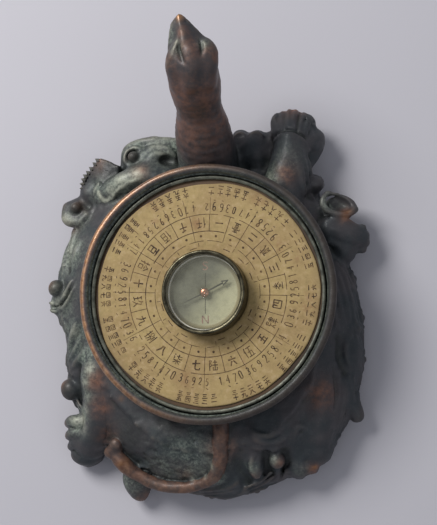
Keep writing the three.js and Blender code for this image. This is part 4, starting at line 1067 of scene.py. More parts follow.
# Left foreleg: limb along the rim, the crest at its elbow, its inner edge, and the toes
FRONT_LEFT_LIMB = [
    (-13.5, 31.5, 12, 3.9), (-19, 33.2, 13.6, 3.1), (-24.5, 31.8, 13.6, 2.9), (-29, 29.6, 12.2, 2.6),
    (-31.2, 28.4, 10.6, 2.1),
]
front_left.stroke(FRONT_LEFT_LIMB, blend=1)
front_left.stroke([
    (-32.2, 31.2, 12.2, 0.7), (-33.2, 29.6, 12, 0.7), (-32.9, 27.8, 11.4, 0.75), (-31, 26.8, 11.2, 0.8),
    (-28.2, 27.7, 12.4, 0.7),
], blend=0.5)
front_left.wedge([
    (-32.8, 39.6, 11.6), (-30.8, 39.2, 12), (-26.6, 36.9, 13), (-27, 33.5, 12.6), (-33.2, 29.6, 10.6),
    (-37.8, 31, 9), (-37.3, 33.8, 9.8), (-35.6, 36, 10.4), (-27, 33.5, 5), (-36, 31.5, 5), (-32, 37.2, 6),
], blend=0.8, rounding=0.6)
CREST_EDGE = [
    (-32.9, 39, 11.4), (-34.2, 37.3, 11.2), (-35.8, 35.5, 10.9), (-37.1, 34, 10.6), (-37.8, 32.3, 10.2),
    (-37.9, 30.4, 9.8),
]
LIMB_EDGE = [
    (-32.2, 29.2), (-31.6, 27.9), (-30.3, 26.9), (-28.6, 27.4), (-27.2, 28.4), (-25.2, 29.9), (-23, 31),
    (-20.4, 31.8),
]
limb_edge = [(x, y, top_of(front_left, x, y) - 0.1, 0.42) for x, y in LIMB_EDGE]
front_left.stroke(limb_edge, blend=0.3)
FRONT_LEFT_TOES = [
    [(-31.4, 27.6, 10.4, 1.6), (-34, 27.4, 8.6, 1.4), (-35, 27.2, 6.4, 0.8)],
    [(-31.4, 26.4, 10, 1.6), (-33.6, 25, 8, 1.4), (-34.5, 24.3, 6, 0.8)],
    [(-30.4, 26, 9.8, 1.6), (-31.4, 23.6, 7.8, 1.4), (-31.9, 22.8, 6, 0.8)],
]
front_left.strokes(FRONT_LEFT_TOES, 0.4)

# Left hind leg: limb, heel with the gap behind it, toes, and the heel's edge
REAR_LEFT_LIMB = [
    (-30.6, -16.6, 12.4, 4.2), (-32.4, -21.5, 13, 3.9), (-31.9, -27, 12.6, 3.8), (-31.9, -32, 11.2, 3.9),
    (-33.6, -36.4, 8.8, 3.9),
]
rear_left.stroke(REAR_LEFT_LIMB, blend=1.4)
rear_left.mass((-35.5, -38, 6.4, 5, 5.4, 4.2), blend=1.4)
rear_left.mass((-37, -42, 4.4, 4.7, 3.2, 3.2), blend=0.4)
rear_left.mass((-31.4, -47.4, 4, 4.3, 3.8, 9), blend=1, carve=True)
REAR_LEFT_TOES = [
    [(-36.2, -33.6, 9, 1.8), (-39.8, -32.9, 8.4, 1.8), (-41.6, -33.4, 6.4, 1.5), (-42.2, -34, 4.4, 0.9)],
    [(-36.6, -36.2, 9, 1.8), (-40.2, -36.3, 7.8, 1.6), (-41.8, -36.8, 5.8, 1.4), (-42.4, -37.2, 4, 0.8)],
    [(-36.4, -38.8, 8.4, 1.7), (-39.8, -39.1, 7, 1.5), (-41.3, -39.6, 5.2, 1.3), (-41.9, -40, 3.6, 0.8)],
]
rear_left.strokes(REAR_LEFT_TOES, 0.4)
rear_left.stroke([(-41, -43.2, 3.4, 0.5), (-37.2, -45, 3.4, 0.55), (-33.4, -43.4, 3.8, 0.5)], blend=0.4)

# Right hind leg: limb, heel, the thigh's edge, and toes
REAR_RIGHT_LIMB = [
    (26, -18.6, 11.8, 4.2), (28, -24.5, 12.6, 3.4), (27.8, -30, 11.6, 3.4), (26.6, -36.5, 9.2, 4),
]
rear_right.stroke(REAR_RIGHT_LIMB, blend=1.4)
rear_right.mass((26, -40, 6.8, 4.8, 4.8, 4.6), blend=1.6)
THIGH_EDGE = [
    (30.4, -20, 13.8, 0.55), (30.8, -24.4, 13.4, 0.65), (30.5, -28.6, 12.8, 0.65), (29.7, -31, 12.3, 0.65),
    (28, -32, 12.2, 0.6), (26, -31.8, 12.4, 0.5),
]
rear_right.stroke(THIGH_EDGE, blend=0.5)
REAR_RIGHT_TOES = [
    [(28, -38.8, 7.6, 2.2), (28.4, -41.6, 6.2, 1.9), (28.6, -42.4, 4.4, 1.2)],
    [(24.6, -41, 8.2, 2.2), (25.1, -44.6, 7, 1.9), (25.3, -45.6, 5, 1.3)],
    [(21.8, -41, 8.4, 2.4), (21.4, -45, 7.4, 2.2), (21.6, -46.8, 5, 1.5)],
]
rear_right.strokes(REAR_RIGHT_TOES, 0.5)

# Tail, with a knob at its end
TAIL_PATH = [
    (2.6, -33, 17.4, 2.15), (2.5, -37.5, 17.2, 2.15), (2.1, -42.5, 15.7, 2), (0.4, -46.8, 13.5, 1.8),
    (-3.8, -49.4, 11.6, 1.6), (-9.5, -50.5, 10.8, 1.6), (-16, -49.8, 10.3, 1.65), (-21.4, -47.2, 10.5, 1.75),
    (-25.2, -44.3, 11, 2.1), (-27.6, -41.4, 11.4, 1.7),
]
tail.stroke(TAIL_PATH, blend=0.8, steps=6)
for place in ((-27, -39.2, 12, 2), (-29.2, -41.3, 10.9, 1.5)):
    tail.ball(place, blend=1.2)

# The space of the dish, which every casting keeps clear of: distance from the dial's middle, and height
DISH_SPACE = [
    (-16, 16.9), (24.2, 16.9), (28.3, 17.2), (31.2, 18.5), (32.5, 20.7), (32.5, 23), (34.25, 23.4),
    (34.4, 24.4), (33.6, 25.6), (32.8, 60), (-16, 60),
]
radius_out = np.hypot(column_x, column_y)
dish_clearance = section_field(DISH_SPACE, radius_out)

# The hollow below with its screw posts, the rebate for the plate, and the hole for the dish's stud
BELOW = -5
PLATE_TOP = 2.4
REBATE_INSET = 4.85
HOLLOW_FOOT = 7.6
HOLLOW_SHOULDER = 12
HOLLOW_TOP = 13
HOLLOW_CENTRE = PAST_CENTRE + 1
POSTS = [(-1.5, 24.5), (-23.5, -26.5), (20.5, -26.5)]
POST_RADIUS = 3
STUD_HOLE_RADIUS = 2.7
hollow = section_field([
    (HOLLOW_FOOT, BELOW), (HOLLOW_FOOT, PLATE_TOP), (HOLLOW_SHOULDER, HOLLOW_TOP),
    (HOLLOW_CENTRE, HOLLOW_TOP), (HOLLOW_CENTRE, BELOW),
], column_inset)
rebate = section_field([
    (REBATE_INSET, BELOW), (REBATE_INSET, PLATE_TOP), (HOLLOW_CENTRE, PLATE_TOP), (HOLLOW_CENTRE, BELOW),
], column_inset)
above_plate = PLATE_TOP - AXES[2][None, None, :]
for x, y in POSTS:
    post = np.hypot(column_x - x, column_y - y) - POST_RADIUS
    hollow = np.maximum(hollow, -np.maximum(post[..., None], above_plate))
stud_hole = np.broadcast_to((radius_out - STUD_HOLE_RADIUS)[..., None], SHAPE)
body.values = np.maximum(body.values, -np.minimum(np.minimum(hollow, rebate), stud_hole))
del hollow, rebate, stud_hole

table = UNDERSIDE - AXES[2][None, None, :]
for clay in castings.values():
    clay.values = np.clip(np.maximum(np.maximum(clay.values, -dish_clearance), table), -FAR, FAR)

# All castings melted together, which gives each joint its fillet
JOINT_BLEND = 2.2
TAIL_BLEND = 0.5
whole = body.values.copy()
for clay in (neck, front_right, front_left, rear_left, rear_right, tail):
    whole = smooth_min(whole, clay.values, TAIL_BLEND if clay is tail else JOINT_BLEND)

# Cast surface: uneven all over, pitted on the back of the shell
PITTED_X, PITTED_Y = -9, -40
PITTED_REACH = (15, 10)
uneven = noise_field(2.2, 3) * 0.1 + noise_field(1.1, 4) * 0.07
pit_distance = np.hypot((column_x - PITTED_X) / PITTED_REACH[0], (column_y - PITTED_Y) / PITTED_REACH[1])
pit_share = np.clip(1.4 - pit_distance, 0, 1)
pits = np.clip(noise_field(1.3, 5) + 0.5 * noise_field(0.8, 6), -0.2, 1) * 0.42
whole += uneven + pits * pit_share[..., None]
whole = np.maximum(whole, np.maximum(-dish_clearance, table))
whole = np.clip(whole, -FAR, FAR)

fine_blur = blurred(whole, 0.8)
coarse_blur = blurred(whole, 2.0)

# Where the bronze of the photograph is green, dark, brown, polished and pale: x, y, z, reach and strength
GREEN_PLACES = [
    (-12, 40, 12, 8, 0.8), (-22, 40, 11, 6, 0.8), (-31.4, 30, 12, 4, 0.9), (-26, 31, 14, 6, 0.9),
    (-39, 22, 10, 4.4, 0.8), (-41, 13, 9, 8, 0.9), (-42, 0, 9, 7, 0.8), (-38, -10, 11, 7, 0.7),
    # Green along the left hind leg's lit edge also paints the highlight of that edge
    (-34.6, -15.5, 15, 3.6, 1), (-34.4, -21, 15, 2.6, 0.9), (-34, -26, 14.6, 2.4, 0.8),
    (-35.8, -31, 12.4, 3, 1), (-38.4, -34, 9.4, 3.4, 0.9), (-6, -42, 15, 9, 0.5), (-14, -45, 13, 5, 0.5),
    (-24, -49, 7, 4, 0.8), (15, 31.6, 15.6, 4, 0.9), (20, 36, 15, 5, 0.3), (-6.4, 37, 18, 3.6, 1),
    (30.4, 24.8, 12.4, 2.6, 0.9), (10, -45, 14, 1.8, 0.8), (0, -48, 13, 3, 1), (16, -43, 13.6, 1.4, 0.8),
    (22.4, -45.6, 9, 2, 0.6), (-5, 64, 43, 2.6, 0.8), (-2.6, 59.6, 45, 2.2, 0.9), (2.9, 60.5, 44, 1.8, 0.8),
]
DARK_PLACES = [
    (-22.3, 38.6, 14.4, 2.2, 1), (-39, 25.4, 12, 2.2, 1), (-44.7, 3.4, 10, 2.8, 1),
    (-40.4, -24.2, 8.7, 3.6, 1), (-33.4, 36, 12.4, 3.2, 0.7), (-28.6, 35.8, 12, 4.2, 1),
    (-13, 37, 12, 3, 0.8), (-10, -33, 17, 6, 0.6), (-22, -36, 15, 6, 0.6),
]
WARM_PLACES = [
    (-1, 45, 25, 9, 1), (-1, 52, 36, 9, 1), (-4.6, 57, 43, 3, 1), (-0.6, 59, 45, 4, 0.8),
    (4.6, 58, 43, 3, 1), (-1.6, 63.6, 46, 2, 0.7), (-31.6, -22, 17, 3.4, 0.8), (-30.4, -29, 15, 3.4, 0.7),
    (28.6, -26, 15, 4, 0.8), (-40, 21, 8, 3, 1), (-20, 34, 16.4, 2.6, 0.9), (20, 32, 17, 3, 0.8),
    (-42.6, -25, 8, 2.4, 0.9), (-21, -53, 5, 2.6, 1), (25.4, -45.4, 8, 2.2, 1), (17.4, -43.6, 13, 1.6, 1),
    (35, 21, 10.6, 2.4, 1), (2.6, -40, 17, 4, 0.8), (-29, -36, 11, 4, 0.6), (21, 50, 10, 3.4, 0.9),
    (-33, 37.4, 12.4, 3, 0.6), (-37.8, 26, 12, 2, 0.8), (10.8, -46.6, 12.6, 1.2, 0.9),
    (-24, 38.6, 14, 1.4, 0.8), (-8, -47, 13, 3, 0.4),
]
POLISHED_PLACES = [
    (-2.5, 67.9, 45.9, 1.3, 0.9), (-46.2, 4, 10.6, 1.5, 0.8), (-42.4, -22.8, 9.6, 1.6, 0.9),
    (-24.8, -44.8, 12.4, 1.8, 0.9), (-33, 38.8, 11.6, 0.8, 0.7), (-42, -36.4, 6.4, 1, 0.9),
    (35.4, 21.6, 12, 1.4, 0.8), (26, -45, 8.6, 0.9, 0.7), (-24.4, -27, 16, 1, 0.7),
    (-41.8, -33.6, 7.6, 0.9, 0.6),
]
# Pale places: mostly painted highlights on edges and tops that face the lamp, with the left foreleg's paler
# top, partly its own colour
PALE_AND_HIGHLIGHT_PLACES = [
    (-25, 31.6, 16.4, 3, 0.85), (-21, 33, 16.6, 3, 0.7), (-28, 29.4, 15, 2, 0.8),
    (-33.2, -18.8, 16.4, 1.8, 1), (-34.4, -22.7, 15.4, 1.4, 0.9), (-33.8, -26.4, 15, 1.4, 0.8),
    (-34.2, -29.6, 13.4, 1.8, 0.9), (-36.4, -32.6, 11.4, 2, 1), (-38.6, -33, 10, 1.8, 0.9),
    (-35.4, -35, 11.4, 2, 0.6), (-41.6, 13, 11, 4, 0.4), (-7, 40.2, 18.4, 1.4, 0.8),
    (-6.2, 37.6, 17, 1.8, 1), (-42.6, 22.4, 10, 1.6, 0.8), (-2.6, 68.2, 46, 0.8, 1),
    (-16, 41, 12.4, 3, 0.35), (-5.4, 56.6, 43.8, 0.8, 0.8), (-4, 59, 45.2, 0.8, 0.8),
    (-3, 61.4, 46, 0.7, 0.7), (3.7, 60.6, 44.4, 0.8, 0.6), (-0.2, -44.8, 15.4, 1.2, 1),
    (-2.8, -47, 14, 1.1, 1), (-6.2, -48.2, 12.8, 0.9, 0.7), (15.4, 31.4, 15.8, 1.4, 0.5),
    (-41.4, 1.2, 12, 1.4, 0.7), (-44, -0.4, 9.6, 1.6, 0.8), (-46.2, -0.9, 9, 1.2, 0.7),
    (-38.6, -9, 13.6, 1.8, 0.5), (-30.6, 27, 13.6, 0.9, 0.9), (-26.4, 29.2, 15, 0.8, 0.9),
    (-23.6, 30.8, 16, 0.8, 0.9),
]


def nearness(places, spots):
    """Share between 0 and 1 of how near places are to any of the spots"""
    share = np.zeros(len(places))
    for x, y, z, reach, strength in spots:
        distance = np.linalg.norm(places - np.array([x, y, z]), axis=1)
        share = np.maximum(share, strength * np.exp(-(distance / reach) ** 2 * 1.4))
    return share


def smoothstep(values, low, high):
    """Share between 0 and 1 that eases in past low and out at high"""
    t = np.clip((values - low) / (high - low), 0, 1)
    return t * t * (3 - 2 * t)


# The whole is shared out: each casting keeps what lies nearer to it than to the others. The body runs
# a little way on below the limbs, a hair lower, so that no crack shows along them
UNDERLAP = 0.7
SUNK = 0.04
MARGIN = 3
CUT_SLACK = 0.3
EDGE_SCALE = 0.55
BULK_SCALE = 2.2
RELAX_ROUNDS = 2
RELAX_SHARE = 0.35
KNOB = (-27.6, -39.6, 12.4, 3, 1)
all_clay = np.stack([clay.values for clay in castings.values()])
for number, (name, clay) in enumerate(castings.items()):
    others = np.min(np.delete(all_clay, number, axis=0), axis=0)
    share = (clay.values - others) / 2
    own = np.maximum(whole + SUNK, share - UNDERLAP) if clay is body else np.maximum(whole, share)
    filled = np.argwhere(own < 0)
    low = np.maximum(filled.min(0) - MARGIN, 0)
    high = np.minimum(filled.max(0) + MARGIN + 1, np.array(SHAPE))
    crop = own[low[0]:high[0], low[1]:high[1], low[2]:high[2]]
    cells, faces = without_crumbs(*skin(crop, low))
    cut = sampled(share, cells) > sampled(whole, cells) - CUT_SLACK
    cells = relaxed(cells, faces, RELAX_ROUNDS, RELAX_SHARE, cut)
    places = cells * CELL + np.array([axis[0] for axis in AXES])
    edge = (sampled(fine_blur, cells) - sampled(whole, cells)) / EDGE_SCALE
    bulk = (sampled(coarse_blur, cells) - sampled(whole, cells)) / BULK_SCALE
    dark = nearness(places, DARK_PLACES)
    attributes = {
        # Wear on raised edges, cut down towards the right, away from the lamp: the lighter edges on the left
        # are partly painted light
        "wear_and_lit_side": smoothstep(edge + 0.3 * bulk, 0.18, 0.75) * (1 - 0.7 * smoothstep(places[:, 0], 2, 22)),
        # Concave places darkened: dark patina, and painted shade in the hollows
        "hollow": np.maximum(smoothstep(-edge - 0.4 * bulk, 0.12, 0.6), 1.2 * dark),
        "green": nearness(places, GREEN_PLACES) * (1 - 0.85 * dark),
        "warm": nearness(places, WARM_PLACES),
        "polish": nearness(places, POLISHED_PLACES),
        "pale": nearness(places, PALE_AND_HIGHLIGHT_PLACES),
    }
    # A painted highlight along the left foreleg's edge next to the rim
    if clay is front_left:
        limb_line = smooth_curve([(x, y, 0) for x, y in LIMB_EDGE], 60)[:, :2]
        apart = np.min(np.linalg.norm(places[:, None, :2] - limb_line[None], axis=2), axis=1)
        attributes["pale"] = np.maximum(attributes["pale"], smoothstep(0.9 - apart, 0, 0.6))
    if clay is tail:
        knob = nearness(places, [KNOB])
        attributes["warm"] = 0.85 - 0.5 * knob
        attributes["hollow"] = np.maximum(attributes["hollow"], 0.42)
        attributes["green"] *= 0.1 + 0.9 * knob
    piece = make_object(f"{name}_cast", places, faces, bronze, attributes)
    finish_piece(piece, "figure", "worn_bronze" if clay is tail else "bronze", name)
del all_clay, whole, fine_blur, coarse_blur, dish_clearance

# Saw teeth along the crest at the left elbow, each a small roof with its ridge outwards
CREST_TEETH = 8
TOOTH_REACH = 0.7
TOOTH_LENGTH = 0.8
TOOTH_DROP = 1.1
TOOTH_WIDTH = 1.3
TIP_DROP = 0.2
BACK_RISE = 0.35
CREST_MIDDLE = (-30.5, 33.4)
TOOTH_FACES = ((0, 1, 5, 2), (0, 3, 4, 1), (0, 2, 3), (1, 4, 5), (2, 5, 4, 3))
crest_edge = smooth_curve(CREST_EDGE, 18)
tooth_points = []
tooth_faces = []
for tooth in range(CREST_TEETH):
    place = (tooth + 0.5) * (len(crest_edge) - 1) / CREST_TEETH
    here = crest_edge[int(place)]
    along = crest_edge[int(place) + 1] - here
    along /= np.linalg.norm(along[:2])
    out = np.array([-along[1], along[0], 0.0])
    if out[:2] @ (here[:2] - CREST_MIDDLE) < 0:
        out = -out
    half = 0.5 * TOOTH_WIDTH * along
    down = np.array([0, 0, -TOOTH_DROP])
    tip = here + TOOTH_REACH * out + np.array([0, 0, -TIP_DROP])
    back = here - TOOTH_LENGTH * out + np.array([0, 0, BACK_RISE])
    first = len(tooth_points)
    tooth_points += [tip, back]
    tooth_points += [corner + down for corner in (here - half, here + half, back + half, back - half)]
    tooth_faces += [tuple(first + corner for corner in face) for face in TOOTH_FACES]
# Tips and backs take wear and a painted highlight; the foot of each tooth takes painted shade
ridge = np.array([1, 0.7, 0, 0, 0, 0] * CREST_TEETH)
teeth = make_object("crest_teeth", tooth_points, tooth_faces, bronze, {
    "wear_and_lit_side": 0.4 * ridge, "hollow": 0.7 * (1 - ridge), "green": 0.5 * ridge, "warm": 0.4 * ridge,
    "polish": 0 * ridge, "pale": 0.3 * ridge,
}, smooth=False)
finish_piece(teeth, "figure", "bronze")


# Dish: thick rolled rim over a plain inner wall
def arc(centre, radius, start, end, steps):
    """Points of a profile along an arc, between two angles in degrees"""
    turns = np.radians(np.linspace(start, end, steps))
    return [(centre[0] + radius * math.cos(t), centre[1] + radius * math.sin(t)) for t in turns]


def off_axis(vertices):
    return np.hypot(vertices[:, 0], vertices[:, 1])


def rim_wobble(turn, radius, height):
    """A hand-beaten rim: slow dents that fade towards the foot"""
    share = np.clip((height - 20) / 4, 0, 1) * (radius > 25)
    dent = 0.07 * math.sin(3 * turn + 0.6) + 0.05 * math.sin(7 * turn + 2) + 0.03 * math.sin(17 * turn)
    return radius + dent * share, height + 0.06 * math.sin(5 * turn + 1) * share


LIT_AND_WORN_ANGLE = 172


def lit_and_worn_side(vertices, low, high):
    """A value that is highest at the rim's left, where the rim is worn and which faces the lamp, so that it
    also paints light there and shade opposite
    """
    turn = np.arctan2(vertices[:, 1], vertices[:, 0])
    return low + (high - low) * smoothstep(np.cos(turn - math.radians(LIT_AND_WORN_ANGLE)), -0.35, 0.9)


def worn_and_lit_copper(vertices):
    """Share of bare copper on the rim's outer half, strongest at the lit left, where it also sets the painted
    highlight
    """
    crown = smoothstep(vertices[:, 2], RIM_TOP - 2.4, RIM_TOP - 1.2)
    return crown * smoothstep(off_axis(vertices), 32.5, 33.3) * lit_and_worn_side(vertices, 0.04, 0.8)


def rim_band(vertices):
    """Share of the rolled rim, against the wall below it"""
    return smoothstep(vertices[:, 2], RIM_TOP - 2.2, RIM_TOP - 1.2)


bead = arc((DISH_RADIUS - BEAD_RADIUS, RIM_TOP - BEAD_RADIUS), BEAD_RADIUS, -100, 215, 15)
dish_profile = [
    (0.01, 9), (2.4, 9), (2.4, DECK), (24, DECK), (28.2, 17.4), (31, 18.7), (32.2, 20.9), (32.25, 22.6),
    *bead, (31.8, 23.5), (31.5, 23.3), (31.42, 22.6), (31.5, 21.6), (31.3, 20.4), (30.2, 19.6), (27.6, 18.6),
    (0.01, 18.6),
]
dish = turned("dish_with_rolled_rim", dish_profile, 288, bronze, rim_wobble, {
    "wear_and_lit_side": lambda v: 0.3 * worn_and_lit_copper(v),
    # Darker on the side of the rim away from the lamp: painted shade
    "hollow": lambda v: rim_band(v) * (1 - lit_and_worn_side(v, 0.1, 1)),
    "green": lambda v: 0.75 - 0.7 * smoothstep(off_axis(v), 31.6, 32.4),
    # Brown, copper and pale more on the lit left: worn copper, and painted light with a painted highlight
    "warm": lambda v: rim_band(v) * smoothstep(off_axis(v), 32.2, 33) * lit_and_worn_side(v, 0.35, 0.9),
    "polish": worn_and_lit_copper,
    "pale": lambda v: 0.4 * worn_and_lit_copper(v),
})
finish_piece(dish, "figure", "worn_bronze", "dial_dish")


def ring_wobble(turn, radius, height):
    """A thin ring that isn't quite round or flat"""
    dent = 0.04 * math.sin(4 * turn + 1) - 0.03 * math.sin(9 * turn)
    return radius + dent, height + 0.05 * math.sin(3 * turn)


keeper = turned("retaining_ring_rolled", [
    (30.1, DISC_TOP), (31.05, DISC_TOP), (31.05, 23.1), *arc((30.75, 23.1), 0.35, 10, 100, 4),
    *arc((30.4, 23.05), 0.32, 100, 185, 4),
], 240, pewter, ring_wobble)
finish_piece(keeper, "figure", "pewter", "retaining_ring")

# Paper dial: cut by hand, so its edge wanders, and it lifts a little here and there
PAPER_HOLE = 10.5
PAPER_RADIUS = 29.35
PAPER_THICKNESS = 0.22
EVEN_RADIUS = 28.4
EVEN_RINGS = 17


def paper_edge(turns):
    """Radius of the sheet by angle"""
    return (PAPER_RADIUS + 0.28 * np.sin(2 * turns + 0.8) + 0.2 * np.sin(5 * turns + 2.2)
            + 0.09 * np.sin(11 * turns) + 0.05 * np.sin(23 * turns + 1))


def paper_height(x, y):
    """Upper face of the sheet: nearly flat, and lifted in three places along the edge"""
    lift = 0.1 * np.clip((np.hypot(x, y) - 27) / 3, 0, 1) ** 2
    return (PAPER_TOP + 0.02 * np.sin(0.33 * x + 0.4) * np.cos(0.27 * y)
            + lift * (0.5 + 0.5 * np.sin(3 * np.arctan2(y, x) + 0.5)))


STAIN_LEVEL = 22.7
STAINS = [(x, y, STAIN_LEVEL, reach, strength) for x, y, reach, strength in (
    (-15.5, 24.5, 3.2, 1), (-13, 19, 2, 1), (-6, -22, 3, 0.8), (27, -3, 4, 0.8), (14, 25, 3, 0.8),
    (-2.8, 18.4, 2.2, 1), (18.8, 12, 2.4, 0.8), (24, 9, 2, 0.8), (-21, -6, 2.4, 0.7), (10, -18, 2, 0.7),
)]
paper_rings = [PAPER_HOLE + (EVEN_RADIUS - PAPER_HOLE) * i / EVEN_RINGS for i in range(EVEN_RINGS + 1)]
paper_rings += [lambda turns: paper_edge(turns) - 0.35, paper_edge]
dial_sheet = disc_piece("dial_paper_sheet", paper_rings, 360, paper, paper_height, PAPER_THICKNESS, {
    "stain": lambda v: nearness(v, STAINS),
    "edge": lambda v: smoothstep(off_axis(v), 27.6, 29.4),
})
finish_piece(dial_sheet, "figure", "paper", "dial_paper")

# Print: closed slips of ink, each a stroke of a numeral, a line or a dot. A glyph is drawn on a ten by ten
# grid: strokes apart by semicolons, each a row of marks
COMMON = [
    "1,5 9,5", "2,7.4 8,7.4; 1,2 9,2", "2,8.4 8,8.4; 2.6,5.2 7.4,5.2; 1,1.6 9,1.6",
    "1.4,8.6 8.6,8.6 8.6,1.6 1.4,1.6 1.4,8.6; 4,8.4 3.4,4.6; 6,8.4 6,4.4 7.8,4.2",
    "2,8.8 8,8.8; 5,8.8 4,1.4; 2,5.2 7.4,5.2 7.2,1.4; 1,1.4 9,1.4",
    "5,9.8 5.4,8.2; 1,6.8 9,6.8; 4.2,5.2 1.8,1; 5.8,5.2 8.4,1",
    "1,5.8 9,7; 4.2,9.6 4.2,2 5.2,1 8.6,1 9,2.8", "4.2,8.4 3.6,5 1,1; 5.8,8.8 6.6,5 9.2,1",
    "1,6.6 6.8,7.2 6.6,2 7.4,1 9,1 9.2,3; 4.2,9.6 3.8,5 1,0.8", "1,5.6 9,5.6; 5,9.6 5,0.4",
    "1,9.2 9,9.2; 5,9 4.4,7.4; 2.4,7.2 2.4,0.8 7.6,0.8 7.6,7.2 2.4,7.2; 2.4,4 7.6,4",
    "7.4,9.6 2.8,8.4; 1,5.6 9,5.6; 5,8.8 5,0.4",
]
FORMAL = [
    "2,9.2 8,9.2; 5,10 5,7.8; 3,7.8 7,7.8; 1,5.2 1,6.6 9,6.6 9,5.2; 3,5.2 7,5.2;"
    " 3.4,4 6.6,4 6.6,2.6 3.4,2.6 3.4,4; 4,2.2 4.4,1; 6,2.2 5.6,1; 1.4,0.6 8.6,0.6",
    "1.2,8 9,8; 6.4,10 7,5 9.2,0.8 9.6,2.6; 2.4,6.8 5.6,6.8; 2,5.6 6,5.6; 2.4,1.6 2.4,4.4 5.6,4.4 5.6,1.6;"
    " 4,3.6 3.8,2 1.4,0.4; 4.4,1.6 6,0.4",
    "5,10 3.4,8.2 6.6,8.4; 2,7 8,7; 5,7.8 4.4,5.8 1,4; 5,6.6 9,4; 3,3.8 7,3.8; 3.4,2.4 6.6,2.4;"
    " 1.4,0.8 8.6,0.8",
    "1.2,9.4 4.2,9.4; 1.2,9.4 1.2,6; 1.2,8 4,8; 0.8,6 4.4,6; 2.4,6 0.8,1; 2.2,3.6 4,0.8; 7,10 7,0.2;"
    " 5.4,8.6 8.8,8.6 8.8,6 5.4,6; 4.8,7.3 9.6,7.3; 5.2,4.4 9,4.4; 4.8,2.4 9.6,2.4",
    "2.6,9.6 0.8,6; 1.9,7.4 1.9,0.4; 4,8.8 9,8.8; 6.3,8.8 5.5,0.8; 4.2,5 8.2,5 8.2,0.8; 3.4,0.8 9.8,0.8",
    "1,9.6 1,0.2; 1,9.6 3.2,9.4 2,7.2 3.4,5 1.4,4; 6.6,10 6.6,0.8; 4.6,8 8.8,8; 4,5.4 9.6,5.4;"
    " 4.6,3.6 4.6,0.8 8.8,0.8 8.8,3.6",
    "0.8,9 1.8,8.2; 0.6,7 1.6,6.3; 0.8,5 2,6; 3,7.6 9,8.4; 5.4,9.8 5.4,6.4 6.4,5.8 9,5.8 9.2,7; 1,3.8 9,3.8;"
    " 5,5 5,0.2; 4.8,3.6 1.6,1; 5.2,3.6 8.4,1",
    "0.6,7.5 3.2,7.5; 2,9.8 2,0.8 1.2,1.4; 0.6,4 3.4,5; 4,9 4,6.2 6.4,6.2 6.4,9 4,9;"
    " 3.8,4.8 6.6,4.8 6.2,0.8 5.4,1.2; 5,6 4.6,3 3.4,0.8; 7.8,8 7.8,3; 9.4,9.8 9.4,0.8 8.4,1.4",
    "0.8,8.8 3.8,8.8; 0.8,5.6 3.6,5.6; 0.4,2 4,2.6; 2.2,8.8 2.2,2.2; 6.4,9.8 5.6,7 4.6,5.6;"
    " 6.2,8 8.4,8 7.2,4 4.4,0.6; 6.6,5 9.6,0.8",
    "0.6,7.5 3.2,7.5; 2,9.8 2,0.8 1.2,1.4; 0.6,4 3.4,5; 6.4,9.8 4,6.6; 6.4,9.8 9.6,6.6; 5.4,6.2 7.8,6.2;"
    " 4.8,4.4 4.8,0.8 8.6,0.8 8.6,4.4 4.8,4.4",
    "2.6,9.6 0.8,6; 1.9,7.4 1.9,0.4; 4,9.2 9.6,9.2; 6.8,9 6.2,7.4; 4.6,7.2 4.6,0.8 8.8,0.8 8.8,7.2 4.6,7.2;"
    " 4.6,4 8.8,4",
    "2.6,9.6 0.8,6; 1.9,7.4 1.9,0.4; 8.8,9.4 4.8,8.4; 4,5.4 9.8,5.4; 6.8,8.8 6.8,0.4",
]
DIGITS = [
    "3,2 3,8 4.2,9.6 5.8,9.6 7,8 7,2 5.8,0.4 4.2,0.4 3,2", "3.6,7.6 5.2,9.6 5.2,0.4",
    "3,7.6 3.8,9.2 6,9.4 7,7.6 6.4,5.6 3,0.5 7.2,0.5",
    "3,8.8 5,9.5 6.8,8 6.2,5.6 4.4,5.2; 4.6,5.2 7,4 6.8,1.6 5,0.4 3,1.2",
    "6,0.4 6,9.6 2.6,3.4 7.4,3.4", "6.8,9.5 3.6,9.5 3.3,5.6 5.8,6 7,4.2 6.6,1.6 5,0.4 3,1",
    "6.6,9.2 4.2,8.6 3,5 3.2,1.6 5,0.4 6.8,1.6 6.6,4.4 4.6,5 3.2,3.8", "2.8,9.4 7.2,9.4 4.6,0.4",
    "5,5.2 3.4,6.8 3.8,9 5,9.6 6.4,9 6.6,6.8 5,5.2 3,3.2 3.4,1 5,0.3 6.8,1.2 7,3.4 5,5.2",
    "6.9,6.2 5.4,4.8 3.8,5.2 3,7 3.8,9.2 5.6,9.5 6.8,8 6.7,4 5.6,1 3.4,0.5",
]

INK_LEVELS = (0.025, -0.01)  # above and below the sheet's face


class Ink:
    """Closed slips of ink on a sheet, which become one piece"""

    def __init__(self, sheet_height):
        self.sheet_height = sheet_height
        self.slips = []
        self.faces = []

    def stroke(self, points, width, taper=0.25):
        """A slip along points of x and y, which narrows by the taper towards its end"""
        points = np.asarray(points, float)
        along = np.gradient(points, axis=0)
        along /= np.linalg.norm(along, axis=1)[:, None] + 1e-9
        across = np.stack([-along[:, 1], along[:, 0]], axis=1)
        half = 0.5 * width * (1 - taper * np.linspace(0, 1, len(points)))[:, None]
        sides = np.vstack([points + across * half, points - across * half])
        first = len(self.slips)
        for level in INK_LEVELS:
            self.slips += [(x, y, float(self.sheet_height(x, y)) + level) for x, y in sides]
        count = len(points)
        low = 2 * count
        for a in range(first, first + count - 1):
            b, c, d = a + 1, a + count, a + count + 1
            self.faces += [(a, c, d, b), (a + low, b + low, d + low, c + low), (a, b, b + low, a + low),
                           (c, c + low, d + low, d)]
        end = first + count - 1
        self.faces.append((first, first + low, first + low + count, first + count))
        self.faces.append((end, end + count, end + low + count, end + low))

    def finish(self, name, material, slot):
        finish_piece(make_object(name, self.slips, self.faces, material, smooth=False), "figure", slot)


